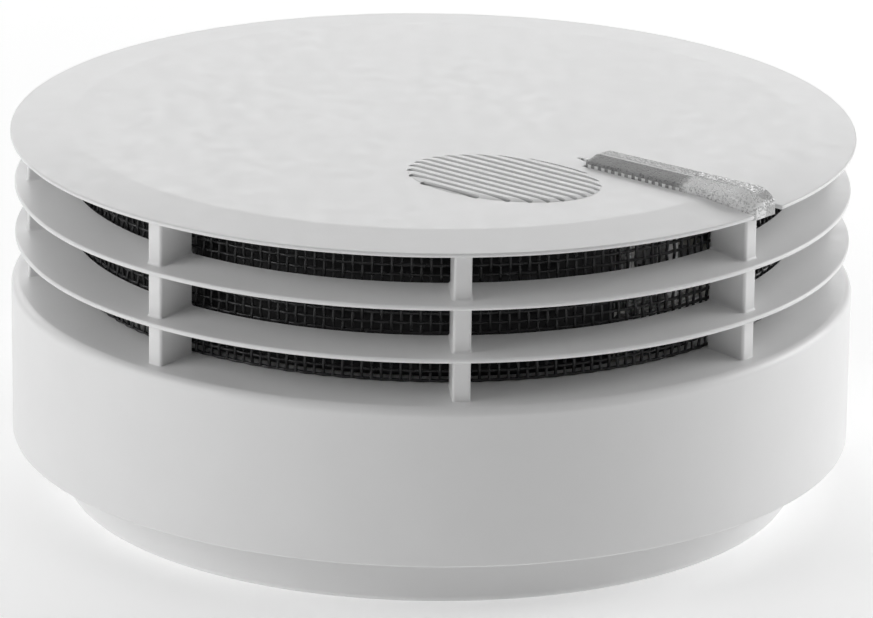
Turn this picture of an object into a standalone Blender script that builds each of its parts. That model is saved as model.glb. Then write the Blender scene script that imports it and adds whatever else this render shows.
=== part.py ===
"""Round louvred smoke detector: a twist-off sensing head on a flat base plate.

Metres, +Z up. The origin is the middle of the base plate's ceiling face, and +Z points away from the
ceiling, so the detector lies on its back. Azimuths run in the XY plane from -Y (the front) towards +X.
"""

import math

import bmesh
import bpy
from mathutils import Matrix, Vector

MM = 0.001

# Clearances
GAP = 0.3 * MM  # between pieces that rest on or beside each other
RUN = 0.4 * MM  # between pieces that turn or slide past each other

# Facets
ROUND = 64  # round the large turned pieces
SMALL_ROUND = 28  # round posts, screws and components
CORNER_STEPS = 4  # along a rounded edge

# Head: wall, ledge and louvres
HEAD_R = 62.5 * MM
WALL_T = 2.0 * MM
SKIRT_Z = 8.3 * MM  # lower edge of the wall, above the ceiling
LEDGE_EDGE_Z = 31.85 * MM  # where the ledge meets the wall's rounded edge
EDGE_ROUND = 1.4 * MM
LEDGE_T = 2.0 * MM
LEDGE_LAP = 2.8 * MM  # of the ledge, inwards past the screen
SLOPE = math.tan(math.radians(5.5))  # of the ledge and the louvres, down towards the rim
SLOT_HEIGHTS = (6.5 * MM, 7.0 * MM, 7.2 * MM)  # air slots, from the ledge up
LOUVRE_INSET = 0.6 * MM  # of the louvres' rims from the wall
LOUVRE_T = 0.75 * MM
SLOT_DEPTH = 9.15 * MM  # from the wall's face in to the screen
RIB_COUNT = 8
RIB_PHASE = 4.2  # degrees, azimuth of the first rib
RIB_T = 2.6 * MM
RIB_INSET = 2.5 * MM  # of the ribs' fronts from the wall

# Top cover
COVER_RIM_T = 0.6 * MM
COVER_RIM_RISE = 0.25 * MM  # of the rim's underside, in to the screen
COVER_BAND = 9.0 * MM  # width of the sloped outer band
BAND_SLOPE = math.tan(math.radians(5.2))
COVER_T = 2.4 * MM
LIP_T = 1.2 * MM  # ring under the cover that centres the screen
LIP_H = 1.8 * MM

# Grille over the sounder
GRILLE_LONG = 15.0 * MM
GRILLE_SHORT = 10.6 * MM
GRILLE_TURN = -28.8  # degrees, long axis from +X
GRILLE_PITCH = 1.78 * MM
GRILLE_SLOT_W = 0.9 * MM

# Insect screen
SCREEN_T = 0.5 * MM

# Base plate and bayonet
BASE_INSET = 7.9 * MM  # of the base's wall from the head's wall
BASE_FLOOR_T = 2.0 * MM
BASE_WALL_T = 2.2 * MM
BASE_H = 11.0 * MM
BASE_ROUND = 1.0 * MM
CABLE_R = 13.0 * MM
FIXING_SPACING = 60.0 * MM
FIXING_SLOT_W = 4.8 * MM
FIXING_SLOT_L = 11.0 * MM
BAYONET_COUNT = 3
HOOK_REACH = 2.5 * MM
HOOK_T = 2.0 * MM
HOOK_HALF = 13.0  # degrees either side of a hook's middle
STOP_WIDTH = 2.0  # degrees
LUG_T = 2.6 * MM
LUG_HALF = 10.4

# Back plate and battery
BACK_T = 2.0 * MM
COLLAR_T = 2.0 * MM  # wall of the ring that carries the lugs
SEAT_W = 1.5 * MM  # step inside the wall that the back plate seats on
BATTERY_L = 46.4 * MM
BATTERY_W = 26.5 * MM
BATTERY_H = 17.5 * MM
BATTERY_Z = 7.0 * MM
BATTERY_EDGE = 1.2 * MM
TERMINAL_H = 2.1 * MM
TERMINAL_R = 2.9 * MM
TERMINAL_SPACING = 12.7 * MM
BAY_WALL = 1.5 * MM
CONTACT_T = 0.6 * MM
CONTACT_W = 8.0 * MM
CONTACT_ROOM = 3.0 * MM  # along the battery, past its terminals

# Board and its larger components
BOARD_T = 1.6 * MM
BOARD_CLEAR = 0.8 * MM  # between the battery bay and the board
POST_R = 3.0 * MM
POST_TURNS = (-60.0, 75.0, 230.0)  # of the posts from the grille, past the sounder and the chamber
SCREW_R = 1.2 * MM
SCREW_HEAD_R = 2.6 * MM
SCREW_HEAD_H = 1.6 * MM
SCREW_GRIP = 9.0 * MM  # length in the cover's post
CONTROLLER_AT = (36.0 * MM, 14.0 * MM)
CONTROLLER_SIZE = 10.0 * MM
CONTROLLER_H = 1.6 * MM
CAPACITOR_AT = (-36.0 * MM, -12.0 * MM)
CAPACITOR_R = 4.0 * MM
CAPACITOR_H = 12.0 * MM
CAPACITOR_EDGE = 0.6 * MM
INDUCTOR_AT = (-40.0 * MM, 5.0 * MM)
INDUCTOR_R = 4.5 * MM
INDUCTOR_H = 8.0 * MM
INDUCTOR_FLANGE = 1.2 * MM
WINDING_INSET = 1.0 * MM

# Sounder
SOUNDER_R = 16.2 * MM
SOUNDER_INSET = 4.5 * MM  # from the cover's lip
SOUNDER_ASIDE = 1.35 * MM  # from the button's collar
SOUNDER_WALL = 1.0 * MM
SOUNDER_SHELF = 1.8 * MM
PIEZO_T = 0.5 * MM
PIEZO_CAVITY = 10.4 * MM  # below the disc
GASKET_T = 0.8 * MM
CAP_H = 4.4 * MM
CAP_T = 1.2 * MM
CAP_HOLE_R = 3.0 * MM
PIEZO_SPRING_R = 2.2 * MM
PIEZO_SPRING_OFFSET = 6.0 * MM
SPRING_WIRE_R = 0.3 * MM

# Optical chamber
CHAMBER_R = 26.0 * MM
CHAMBER_CLEAR = 1.0 * MM
CHAMBER_FLOOR_T = 1.5 * MM
CHAMBER_H = 16.0 * MM
VANE_COUNT = 20
VANE_L = 5.6 * MM
VANE_T = 1.0 * MM
VANE_TURN = 40.0  # degrees from radial
HOLDER_L = 9.0 * MM
HOLDER_W = 8.0 * MM
HOLDER_H = 9.0 * MM
HOLDER_END = 1.2 * MM  # solid behind the bore
EMITTER_R = 2.5 * MM
EMITTER_L = 6.5 * MM
HOLDER_AZIMUTHS = {"infrared_led": 200.0, "photodiode": 335.0}

# Test button, its switch and the status light
BUTTON_AZIMUTH = 49.7
BUTTON_INNER_R = 28.0 * MM
BUTTON_SHOULDER = 3.0 * MM
BUTTON_END_INSET = 0.5 * MM
BUTTON_W = 5.4 * MM
BUTTON_PROUD = 1.35 * MM
BUTTON_SINK = 1.0 * MM  # depth of the bar below the cover's face
BUTTON_BEVEL = 0.7 * MM
BUTTON_TRAVEL = 0.6 * MM
STEM_R = 1.9 * MM
STEM_COLLAR_LAP = 0.5 * MM  # of the collar, over the spring
STEM_COLLAR_INSET = 1.45 * MM  # from the cover's lip
STEM_COLLAR_T = 1.0 * MM
STEM_COLLAR_UP = 1.9 * MM  # above the stem's foot
LEG_ASIDE = 0.5 * MM  # of the light leg from the collar
LEG_R = 1.2 * MM
SWITCH_SIZE = 6.2 * MM
SWITCH_H = 3.4 * MM
PLUNGER_R = 1.7 * MM
PLUNGER_PROUD = 1.5 * MM
PLUNGER_DEPTH = 1.5 * MM
LED_R = 1.5 * MM
LED_H = 4.4 * MM


def angle_between(side_a, side_b, opposite):
    """Angle in degrees between two sides of a triangle, from the three lengths."""
    cosine = (side_a**2 + side_b**2 - opposite**2) / (2 * side_a * side_b)
    return math.degrees(math.acos(cosine))


# Places that follow from the sizes above
LOUVRE_R = HEAD_R - LOUVRE_INSET
SCREEN_R = HEAD_R - SLOT_DEPTH
RIB_R = HEAD_R - RIB_INSET
LEDGE_BORE_R = SCREEN_R - LEDGE_LAP
LEDGE_EDGE_R = HEAD_R - EDGE_ROUND
LOUVRE_Z = (
    LEDGE_EDGE_Z + SLOT_HEIGHTS[0],
    LEDGE_EDGE_Z + SLOT_HEIGHTS[0] + LOUVRE_T + SLOT_HEIGHTS[1],
)
COVER_RIM_Z = LOUVRE_Z[1] + LOUVRE_T + SLOT_HEIGHTS[2]
CREASE_R = HEAD_R - COVER_BAND
COVER_Z = COVER_RIM_Z + COVER_RIM_T + COVER_BAND * BAND_SLOPE
COVER_UNDER_Z = COVER_Z - COVER_T
BASE_R = HEAD_R - BASE_INSET
BASE_BORE_R = BASE_R - BASE_WALL_T
HOOK_R = BASE_BORE_R - HOOK_REACH
HOOK_Z = BASE_H - HOOK_T
BACK_Z = BASE_H + RUN
BACK_TOP_Z = BACK_Z + BACK_T
BACK_R = HEAD_R - WALL_T - RUN
LUG_TOP_Z = HOOK_Z - RUN
COLLAR_R = HOOK_R - RUN
COLLAR_BORE_R = COLLAR_R - COLLAR_T
BAY_CEILING_Z = BATTERY_Z + BATTERY_H + RUN
BOARD_Z = BAY_CEILING_Z + BAY_WALL + BOARD_CLEAR
BOARD_TOP_Z = BOARD_Z + BOARD_T
BOARD_R = LEDGE_BORE_R - 2 * GAP
SEATED_Z = BOARD_TOP_Z + GAP  # foot of everything that stands on the board
POST_AT_R = COLLAR_BORE_R - SCREW_HEAD_R - RUN
BAY_X = (-BATTERY_L / 2 - RUN, BATTERY_L / 2 + TERMINAL_H + CONTACT_ROOM)
BAY_Y = BATTERY_W / 2 + RUN
LIP_R = SCREEN_R - SCREEN_T - RUN
LIP_BORE_R = LIP_R - LIP_T
BUTTON_SPRING_R = SWITCH_SIZE / math.sqrt(2) + GAP + SPRING_WIRE_R
STEM_COLLAR_R = BUTTON_SPRING_R + SPRING_WIRE_R + STEM_COLLAR_LAP
STEM_AT_R = LIP_BORE_R - STEM_COLLAR_INSET - STEM_COLLAR_R
LEG_AT_R = STEM_AT_R - STEM_COLLAR_R - LEG_ASIDE - LEG_R
GRILLE_AT_R = LIP_BORE_R - SOUNDER_INSET - SOUNDER_R
GRILLE_AZIMUTH = BUTTON_AZIMUTH - angle_between(
    STEM_AT_R, GRILLE_AT_R, SOUNDER_R + SOUNDER_ASIDE + STEM_COLLAR_R
)
POST_AZIMUTHS = tuple(GRILLE_AZIMUTH + turn for turn in POST_TURNS)
SOUNDER_BORE_R = SOUNDER_R - SOUNDER_WALL
CHAMBER_AT_R = SOUNDER_R + CHAMBER_CLEAR + CHAMBER_R - GRILLE_AT_R
BUTTON_BOTTOM_Z = COVER_Z - BUTTON_SINK
GROOVE_Z = BUTTON_BOTTOM_Z - BUTTON_TRAVEL - GAP
SWITCH_TOP_Z = SEATED_Z + SWITCH_H
STEM_FOOT_Z = SWITCH_TOP_Z + PLUNGER_PROUD + GAP
STEM_COLLAR_Z = STEM_FOOT_Z + STEM_COLLAR_UP


# ---------------------------------------------------------------- geometry helpers


def heading(azimuth):
    """Unit vector of an azimuth, in the XY plane."""
    turn = math.radians(azimuth)
    return Vector((math.sin(turn), -math.cos(turn), 0.0))


def polar(radius, azimuth):
    """(x, y) of a radius along an azimuth."""
    spot = heading(azimuth) * radius
    return spot.x, spot.y


def ledge_z(radius):
    """Height of the shell's sloped ledge at a radius."""
    return LEDGE_EDGE_Z + (LEDGE_EDGE_R - radius) * SLOPE


def louvre_z(level, radius):
    """Height of a louvre's underside at a radius."""
    return LOUVRE_Z[level] + (LOUVRE_R - radius) * SLOPE


def circle(radius, steps=SMALL_ROUND, centre=(0.0, 0.0)):
    """Points round a circle, anticlockwise seen from above."""
    turns = [2 * math.pi * i / steps for i in range(steps)]
    return [(centre[0] + radius * math.cos(a), centre[1] + radius * math.sin(a)) for a in turns]


def arc(centre, radius, start, end, steps=CORNER_STEPS):
    """Points along an arc of an outline, from one angle in degrees to another."""
    turns = [math.radians(start + (end - start) * i / steps) for i in range(steps + 1)]
    return [(centre[0] + radius * math.cos(a), centre[1] + radius * math.sin(a)) for a in turns]


def rectangle(x_low, x_high, y_low, y_high):
    """Corners of a rectangle, anticlockwise."""
    return [(x_low, y_low), (x_high, y_low), (x_high, y_high), (x_low, y_high)]


def add_loft(bm, loops):
    """Adds the closed solid that joins loops of equally many points, with both ends capped."""
    rings = [[bm.verts.new(point) for point in loop] for loop in loops]
    count = len(rings[0])
    for lower, upper in zip(rings, rings[1:]):
        for i in range(count):
            j = (i + 1) % count
            bm.faces.new((lower[i], lower[j], upper[j], upper[i]))
    bm.faces.new(rings[0][::-1])
    bm.faces.new(rings[-1])


def add_prism(bm, outline, z_low, z_high):
    """Adds an upright prism on an outline of (x, y) points."""
    add_loft(bm, [[(x, y, z) for x, y in outline] for z in (z_low, z_high)])


def add_rod(bm, start, direction, stations, steps=SMALL_ROUND):
    """Adds a round bar along a direction, with (distance, radius) stations."""
    direction = direction.normalized()
    side = direction.orthogonal().normalized()
    other = direction.cross(side)
    loops = []
    for distance, radius in stations:
        middle = start + direction * distance
        loops.append([middle + side * x + other * y for x, y in circle(radius, steps)])
    add_loft(bm, loops)


def add_turned(bm, profile, steps=ROUND, centre=(0.0, 0.0)):
    """Adds the solid that a closed outline of (radius, height) points sweeps round an upright axis."""
    rings = []
    for radius, z in profile:
        points = circle(radius, steps, centre) if radius > 0 else [centre]
        rings.append([bm.verts.new((x, y, z)) for x, y in points])
    for ring, following in zip(rings, rings[1:] + rings[:1]):
        if len(ring) == len(following) == 1:
            continue
        for i in range(steps):
            j = (i + 1) % steps
            corners = [ring[i % len(ring)], following[i % len(following)]]
            corners += [following[j % len(following)], ring[j % len(ring)]]
            bm.faces.new(list(dict.fromkeys(corners)))


def add_plate(bm, outline, thickness, azimuth):
    """Adds a flat plate that stands in the radial plane of an azimuth, on (radius, height) points."""
    out = heading(azimuth)
    across = Vector((-out.y, out.x, 0.0))
    loops = []
    for side in (-thickness / 2, thickness / 2):
        loops.append([out * r + across * side + Vector((0, 0, z)) for r, z in outline])
    add_loft(bm, loops)


def add_sector(bm, outline, start, end, steps=6):
    """Adds part of a ring: (radius, height) points swept between two azimuths."""
    loops = []
    for i in range(steps + 1):
        out = heading(start + (end - start) * i / steps)
        loops.append([out * r + Vector((0, 0, z)) for r, z in outline])
    add_loft(bm, loops)


def add_coil(bm, centre, radius, wire, z_low, z_high, turns, steps=12, sides=6):
    """Adds a compression spring whose wire lies between two heights, with closed end turns."""
    low = z_low + wire
    rise = z_high - z_low - 2 * wire
    points = []
    for i in range(turns * steps + 1):
        part = i / (turns * steps)
        # The height eases in and out, so that the end turns lie nearly flat.
        eased = part - math.sin(2 * math.pi * part) / (2 * math.pi) * 0.6
        angle = 2 * math.pi * turns * part
        x, y = radius * math.cos(angle), radius * math.sin(angle)
        points.append(Vector((centre[0] + x, centre[1] + y, low + rise * eased)))
    loops = []
    for i, point in enumerate(points):
        ahead = points[min(i + 1, len(points) - 1)] - points[max(i - 1, 0)]
        out = Vector((point.x - centre[0], point.y - centre[1], 0.0)).normalized()
        up = ahead.cross(out).normalized()
        loops.append([point + out * x + up * y for x, y in circle(wire, sides)])
    add_loft(bm, loops)


# ---------------------------------------------------------------- scene helpers


def clear_scene():
    """Removes every object that the file opened with."""
    for obj in list(bpy.data.objects):
        bpy.data.objects.remove(obj, do_unlink=True)


def finish_colour(name, colour, roughness=0.45, metallic=0.0, transmission=0.0):
    """A plain Principled material."""
    material = bpy.data.materials.new(name)
    material.use_nodes = True
    shader = material.node_tree.nodes["Principled BSDF"]
    shader.inputs["Base Color"].default_value = (*colour, 1.0)
    shader.inputs["Roughness"].default_value = roughness
    shader.inputs["Metallic"].default_value = metallic
    shader.inputs["Transmission Weight"].default_value = transmission
    return material


def world_place(obj):
    """World place of an object's origin; nothing here is rotated or scaled."""
    place = Vector()
    while obj:
        place += obj.location
        obj = obj.parent
    return place


def mesh_object(name, bm, pivot, parent):
    """Turns a bmesh in world places into an object whose origin is its pivot."""
    bmesh.ops.recalc_face_normals(bm, faces=bm.faces)
    bm.transform(Matrix.Translation(-Vector(pivot)))
    mesh = bpy.data.meshes.new(name)
    bm.to_mesh(mesh)
    bm.free()
    obj = bpy.data.objects.new(name, mesh)
    obj.parent = parent
    obj.location = Vector(pivot) - world_place(parent)
    bpy.context.scene.collection.objects.link(obj)
    return obj


def piece(name, material, bm, parent=None, pivot=(0.0, 0.0, 0.0)):
    """A named sub-part with its own material."""
    obj = mesh_object(name, bm, pivot, parent)
    obj.data.materials.append(material.copy())
    obj.data.shade_smooth()
    obj.data.set_sharp_from_angle(angle=math.radians(35))
    return obj


def shape(obj, bm, operation, label):
    """Cuts a hidden helper from a piece, or joins it on."""
    helper = mesh_object(f"{obj.name}_{label}", bm, world_place(obj), obj.parent)
    helper.hide_render = True
    helper.display_type = "WIRE"
    boolean = obj.modifiers.new(label, "BOOLEAN")
    boolean.operation = operation
    boolean.solver = "EXACT"
    boolean.object = helper


def axis_empty(name, place, parent=None):
    """An empty on a joint's axis, for the pieces that move with it."""
    empty = bpy.data.objects.new(name, None)
    empty.location = place
    empty.empty_display_size = 0.01
    empty.parent = parent
    bpy.context.scene.collection.objects.link(empty)
    return empty


# ---------------------------------------------------------------- the base


def make_base_plate(white):
    """Round ceiling plate with a rim, three bayonet hooks, a cable opening and two fixing slots."""
    bm = bmesh.new()
    rounded = arc((BASE_R - BASE_ROUND, BASE_ROUND), BASE_ROUND, -90, 0)
    inner = [(BASE_R, BASE_H), (BASE_BORE_R, BASE_H), (BASE_BORE_R, BASE_FLOOR_T)]
    add_turned(bm, [(CABLE_R, 0.0)] + rounded + inner + [(CABLE_R, BASE_FLOOR_T)])
    base = piece("base_plate", white, bm)

    into_wall = BASE_BORE_R + BASE_WALL_T / 2
    for i in range(BAYONET_COUNT):
        middle = i * 360 / BAYONET_COUNT
        bm = bmesh.new()
        flange = rectangle(HOOK_R, into_wall, HOOK_Z, BASE_H - GAP / 3)
        add_sector(bm, flange, middle - HOOK_HALF, middle + HOOK_HALF)
        shape(base, bm, "UNION", f"hook_{i + 1}")
        bm = bmesh.new()
        stop = rectangle(HOOK_R, into_wall, BASE_FLOOR_T / 2, HOOK_Z + HOOK_T / 2)
        add_sector(bm, stop, middle - HOOK_HALF, middle - HOOK_HALF + STOP_WIDTH, steps=1)
        shape(base, bm, "UNION", f"stop_{i + 1}")

    bm = bmesh.new()
    half = (FIXING_SLOT_L - FIXING_SLOT_W) / 2
    for side in (-1, 1):
        x = side * FIXING_SPACING / 2
        outline = arc((x + half, 0.0), FIXING_SLOT_W / 2, -90, 90, 8)
        outline += arc((x - half, 0.0), FIXING_SLOT_W / 2, 90, 270, 8)
        add_prism(bm, outline, -BASE_FLOOR_T, 2 * BASE_FLOOR_T)
    shape(base, bm, "DIFFERENCE", "fixing_slots")


# ---------------------------------------------------------------- the head's casing


def add_ribs(bm, foot, head):
    """Adds the eight radial ribs between two heights, each given as a function of radius."""
    inner = SCREEN_R + GAP
    outline = [(inner, foot(inner)), (RIB_R, foot(RIB_R)), (RIB_R, head(RIB_R)), (inner, head(inner))]
    for i in range(RIB_COUNT):
        add_plate(bm, outline, RIB_T, RIB_PHASE + i * 360 / RIB_COUNT)


def make_outer_shell(white, head):
    """Cylindrical wall with a rounded top edge, a sloped ledge and the lowest ribs."""
    bm = bmesh.new()
    bore = HEAD_R - WALL_T
    seat_z = BACK_TOP_Z + GAP
    profile = [(bore, SKIRT_Z), (HEAD_R, SKIRT_Z)]
    profile += arc((LEDGE_EDGE_R, LEDGE_EDGE_Z - EDGE_ROUND), EDGE_ROUND, 0, 90)
    profile += [(LEDGE_BORE_R, ledge_z(LEDGE_BORE_R)), (LEDGE_BORE_R, ledge_z(LEDGE_BORE_R) - LEDGE_T)]
    profile += [(bore, ledge_z(bore) - LEDGE_T), (bore, seat_z + 2 * SEAT_W)]
    profile += [(bore - SEAT_W, seat_z + SEAT_W), (bore - SEAT_W, seat_z), (bore, seat_z)]
    add_turned(bm, profile)
    shell = piece("outer_shell", white, bm, head)
    bm = bmesh.new()
    add_ribs(bm, lambda r: ledge_z(r) - LEDGE_T / 2, lambda r: louvre_z(0, r) - GAP)
    shape(shell, bm, "UNION", "ribs")


def make_louvre(name, level, ceiling, white, head):
    """Thin sloped ring with eight ribs on it that reach up to the piece above."""
    inner = SCREEN_R + GAP
    bm = bmesh.new()
    profile = [(LOUVRE_R, LOUVRE_Z[level]), (LOUVRE_R, LOUVRE_Z[level] + LOUVRE_T)]
    profile += [(inner, louvre_z(level, inner) + LOUVRE_T), (inner, louvre_z(level, inner))]
    add_turned(bm, profile)
    ring = piece(name, white, bm, head)
    bm = bmesh.new()
    add_ribs(bm, lambda r: louvre_z(level, r) + LOUVRE_T / 2, ceiling)
    shape(ring, bm, "UNION", "ribs")


def grille_slots():
    """Outlines of the grille's parallel slots, as long as the oval is there."""
    x, y = polar(GRILLE_AT_R, GRILLE_AZIMUTH)
    middle = Vector((x, y, 0.0))
    along = heading(BUTTON_AZIMUTH)
    across = Vector((-along.y, along.x, 0.0))
    lean = math.radians(GRILLE_TURN)
    long_axis = Vector((math.cos(lean), math.sin(lean), 0.0))
    short_axis = Vector((-long_axis.y, long_axis.x, 0.0))
    # Oval in the slots' own axes: a t^2 + 2 b t s + c s^2 = 1.
    a = (along.dot(long_axis) / GRILLE_LONG) ** 2 + (along.dot(short_axis) / GRILLE_SHORT) ** 2
    c = (across.dot(long_axis) / GRILLE_LONG) ** 2 + (across.dot(short_axis) / GRILLE_SHORT) ** 2
    b = along.dot(long_axis) * across.dot(long_axis) / GRILLE_LONG**2
    b += along.dot(short_axis) * across.dot(short_axis) / GRILLE_SHORT**2
    reach = math.sqrt(a / (a * c - b * b))
    count = int(2 * (reach - GRILLE_SLOT_W) / GRILLE_PITCH) + 1
    outlines = []
    for i in range(count):
        offset = (i - (count - 1) / 2) * GRILLE_PITCH
        root = math.sqrt(max(0.0, (b * offset) ** 2 - a * (c * offset**2 - 1)))
        ends = [(-b * offset - root) / a, (-b * offset + root) / a]
        corners = []
        for end, side in ((0, -1), (1, -1), (1, 1), (0, 1)):
            spot = middle + along * ends[end] + across * (offset + side * GRILLE_SLOT_W / 2)
            corners.append((spot.x, spot.y))
        outlines.append(corners)
    return outlines


def bar_outline(margin):
    """Outline of the test button's bar in plan, grown by a margin."""
    out = heading(BUTTON_AZIMUTH)
    across = Vector((-out.y, out.x, 0.0))
    tip = BUTTON_INNER_R - margin
    shoulder = BUTTON_INNER_R + BUTTON_SHOULDER - margin
    end = HEAD_R - BUTTON_END_INSET + 4 * margin
    half = BUTTON_W / 2 + margin
    points = [(tip, -half / 4), (shoulder, -half), (end, -half), (end, half), (shoulder, half)]
    points.append((tip, half / 4))
    return [(out * r + across * t).to_2d() for r, t in points]


def make_top_cover(white, head):
    """Flat disc with a sloped band and a thin rim, a grille, a groove for the button and three posts."""
    band_z = COVER_RIM_Z + COVER_RIM_RISE
    bm = bmesh.new()
    profile = [(0.0, COVER_Z), (CREASE_R, COVER_Z), (HEAD_R, COVER_RIM_Z + COVER_RIM_T)]
    profile += [(HEAD_R, COVER_RIM_Z), (SCREEN_R, band_z), (SCREEN_R, COVER_UNDER_Z)]
    profile += [(LIP_R, COVER_UNDER_Z), (LIP_R, COVER_UNDER_Z - LIP_H)]
    profile += [(LIP_BORE_R, COVER_UNDER_Z - LIP_H), (LIP_BORE_R, COVER_UNDER_Z)]
    profile.append((0.0, COVER_UNDER_Z))
    add_turned(bm, profile)
    cover = piece("top_cover", white, bm, head)

    bm = bmesh.new()
    for azimuth in POST_AZIMUTHS:
        add_prism(bm, circle(POST_R, centre=polar(POST_AT_R, azimuth)), SEATED_Z, COVER_Z - COVER_T / 2)
    shape(cover, bm, "UNION", "posts")

    bm = bmesh.new()
    for azimuth in POST_AZIMUTHS:
        bore = circle(SCREW_R + GAP, centre=polar(POST_AT_R, azimuth))
        add_prism(bm, bore, BOARD_Z, SEATED_Z + SCREW_GRIP + GAP)
    for outline in grille_slots():
        add_prism(bm, outline, COVER_UNDER_Z - COVER_T, COVER_Z + COVER_T)
    shape(cover, bm, "DIFFERENCE", "bores_and_grille")

    bm = bmesh.new()
    add_prism(bm, bar_outline(GAP), GROOVE_Z, COVER_Z + COVER_T)
    shape(cover, bm, "DIFFERENCE", "button_groove")
    bm = bmesh.new()
    for radius, place in ((STEM_R, STEM_AT_R), (LEG_R, LEG_AT_R)):
        hole = circle(radius + RUN, centre=polar(place, BUTTON_AZIMUTH))
        add_prism(bm, hole, COVER_UNDER_Z - COVER_T, COVER_Z)
    shape(cover, bm, "DIFFERENCE", "stem_holes")


def make_insect_screen(black, head):
    """Fine mesh ring between the ledge and the cover, here as a thin plain tube."""
    inner = SCREEN_R - SCREEN_T
    bottom = ledge_z(inner) + GAP
    top = COVER_UNDER_Z - GAP
    bm = bmesh.new()
    add_turned(bm, [(SCREEN_R, top), (SCREEN_R, bottom), (inner, bottom), (inner, top)])
    piece("insect_screen", black, bm, head)


def make_back_plate(white, head):
    """Floor of the head, with the lug ring, the battery bay and three screw posts."""
    lug_z = LUG_TOP_Z - LUG_T
    bm = bmesh.new()
    profile = [(0.0, BACK_TOP_Z), (BACK_R, BACK_TOP_Z), (BACK_R, BACK_Z), (COLLAR_R, BACK_Z)]
    profile += [(COLLAR_R, lug_z), (COLLAR_BORE_R, lug_z), (COLLAR_BORE_R, BACK_Z), (0.0, BACK_Z)]
    add_turned(bm, profile)
    plate = piece("back_plate", white, bm, head)

    for i in range(BAYONET_COUNT):
        middle = i * 360 / BAYONET_COUNT
        bm = bmesh.new()
        lug = rectangle(COLLAR_R - COLLAR_T / 2, BASE_BORE_R - RUN, lug_z + GAP / 3, LUG_TOP_Z)
        add_sector(bm, lug, middle - LUG_HALF, middle + LUG_HALF)
        shape(plate, bm, "UNION", f"lug_{i + 1}")

    bm = bmesh.new()
    walls = rectangle(BAY_X[0] - BAY_WALL, BAY_X[1] + BAY_WALL, -BAY_Y - BAY_WALL, BAY_Y + BAY_WALL)
    add_prism(bm, walls, BACK_Z + BACK_T / 2, BAY_CEILING_Z + BAY_WALL)
    for azimuth in POST_AZIMUTHS:
        post = circle(POST_R, centre=polar(POST_AT_R, azimuth))
        add_prism(bm, post, BACK_Z + BACK_T / 2, BOARD_Z - GAP)
    shape(plate, bm, "UNION", "bay_and_posts")

    bm = bmesh.new()
    add_prism(bm, rectangle(*BAY_X, -BAY_Y, BAY_Y), BACK_Z - BACK_T, BAY_CEILING_Z)
    for azimuth in POST_AZIMUTHS:
        bore = circle(SCREW_R + GAP, centre=polar(POST_AT_R, azimuth))
        add_prism(bm, bore, BACK_Z - BACK_T, BOARD_Z + BOARD_T)
    shape(plate, bm, "DIFFERENCE", "bay_and_bores")

    bm = bmesh.new()
    half = CONTACT_W / 2 + GAP
    x = contact_x()
    for side in (-1, 1):
        y = side * TERMINAL_SPACING / 2
        slot = rectangle(x - GAP, x + CONTACT_T + GAP, y - half, y + half)
        add_prism(bm, slot, BAY_CEILING_Z - BAY_WALL, BAY_CEILING_Z + 2 * BAY_WALL)
    shape(plate, bm, "DIFFERENCE", "contact_slots")


# ---------------------------------------------------------------- power and board


def contact_x():
    """Face of the contact blades that the battery's terminals press on."""
    return BATTERY_L / 2 + TERMINAL_H + GAP


def make_battery(dark, brass, head):
    """Nine-volt block with its two terminals at the +X end, and the blades they press on."""
    bm = bmesh.new()
    half = BATTERY_W / 2
    block = rectangle(-BATTERY_L / 2, BATTERY_L / 2, -half, half)
    add_prism(bm, block, BATTERY_Z, BATTERY_Z + BATTERY_H)
    battery = piece("battery", dark, bm, head)
    bevel = battery.modifiers.new("edges", "BEVEL")
    bevel.width = BATTERY_EDGE
    bevel.segments = 2
    bm = bmesh.new()
    middle_z = BATTERY_Z + BATTERY_H / 2
    for side in (-1, 1):
        start = Vector((BATTERY_L / 2 - TERMINAL_H, side * TERMINAL_SPACING / 2, middle_z))
        add_rod(bm, start, Vector((1, 0, 0)), [(0, TERMINAL_R), (2 * TERMINAL_H, TERMINAL_R)])
    shape(battery, bm, "UNION", "terminals")

    x = contact_x()
    for name, side in (("contact_positive", 1), ("contact_negative", -1)):
        y = side * TERMINAL_SPACING / 2
        bm = bmesh.new()
        blade = rectangle(x, x + CONTACT_T, y - CONTACT_W / 2, y + CONTACT_W / 2)
        add_prism(bm, blade, BATTERY_Z + GAP, BOARD_Z - GAP)
        piece(name, brass, bm, head)


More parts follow.
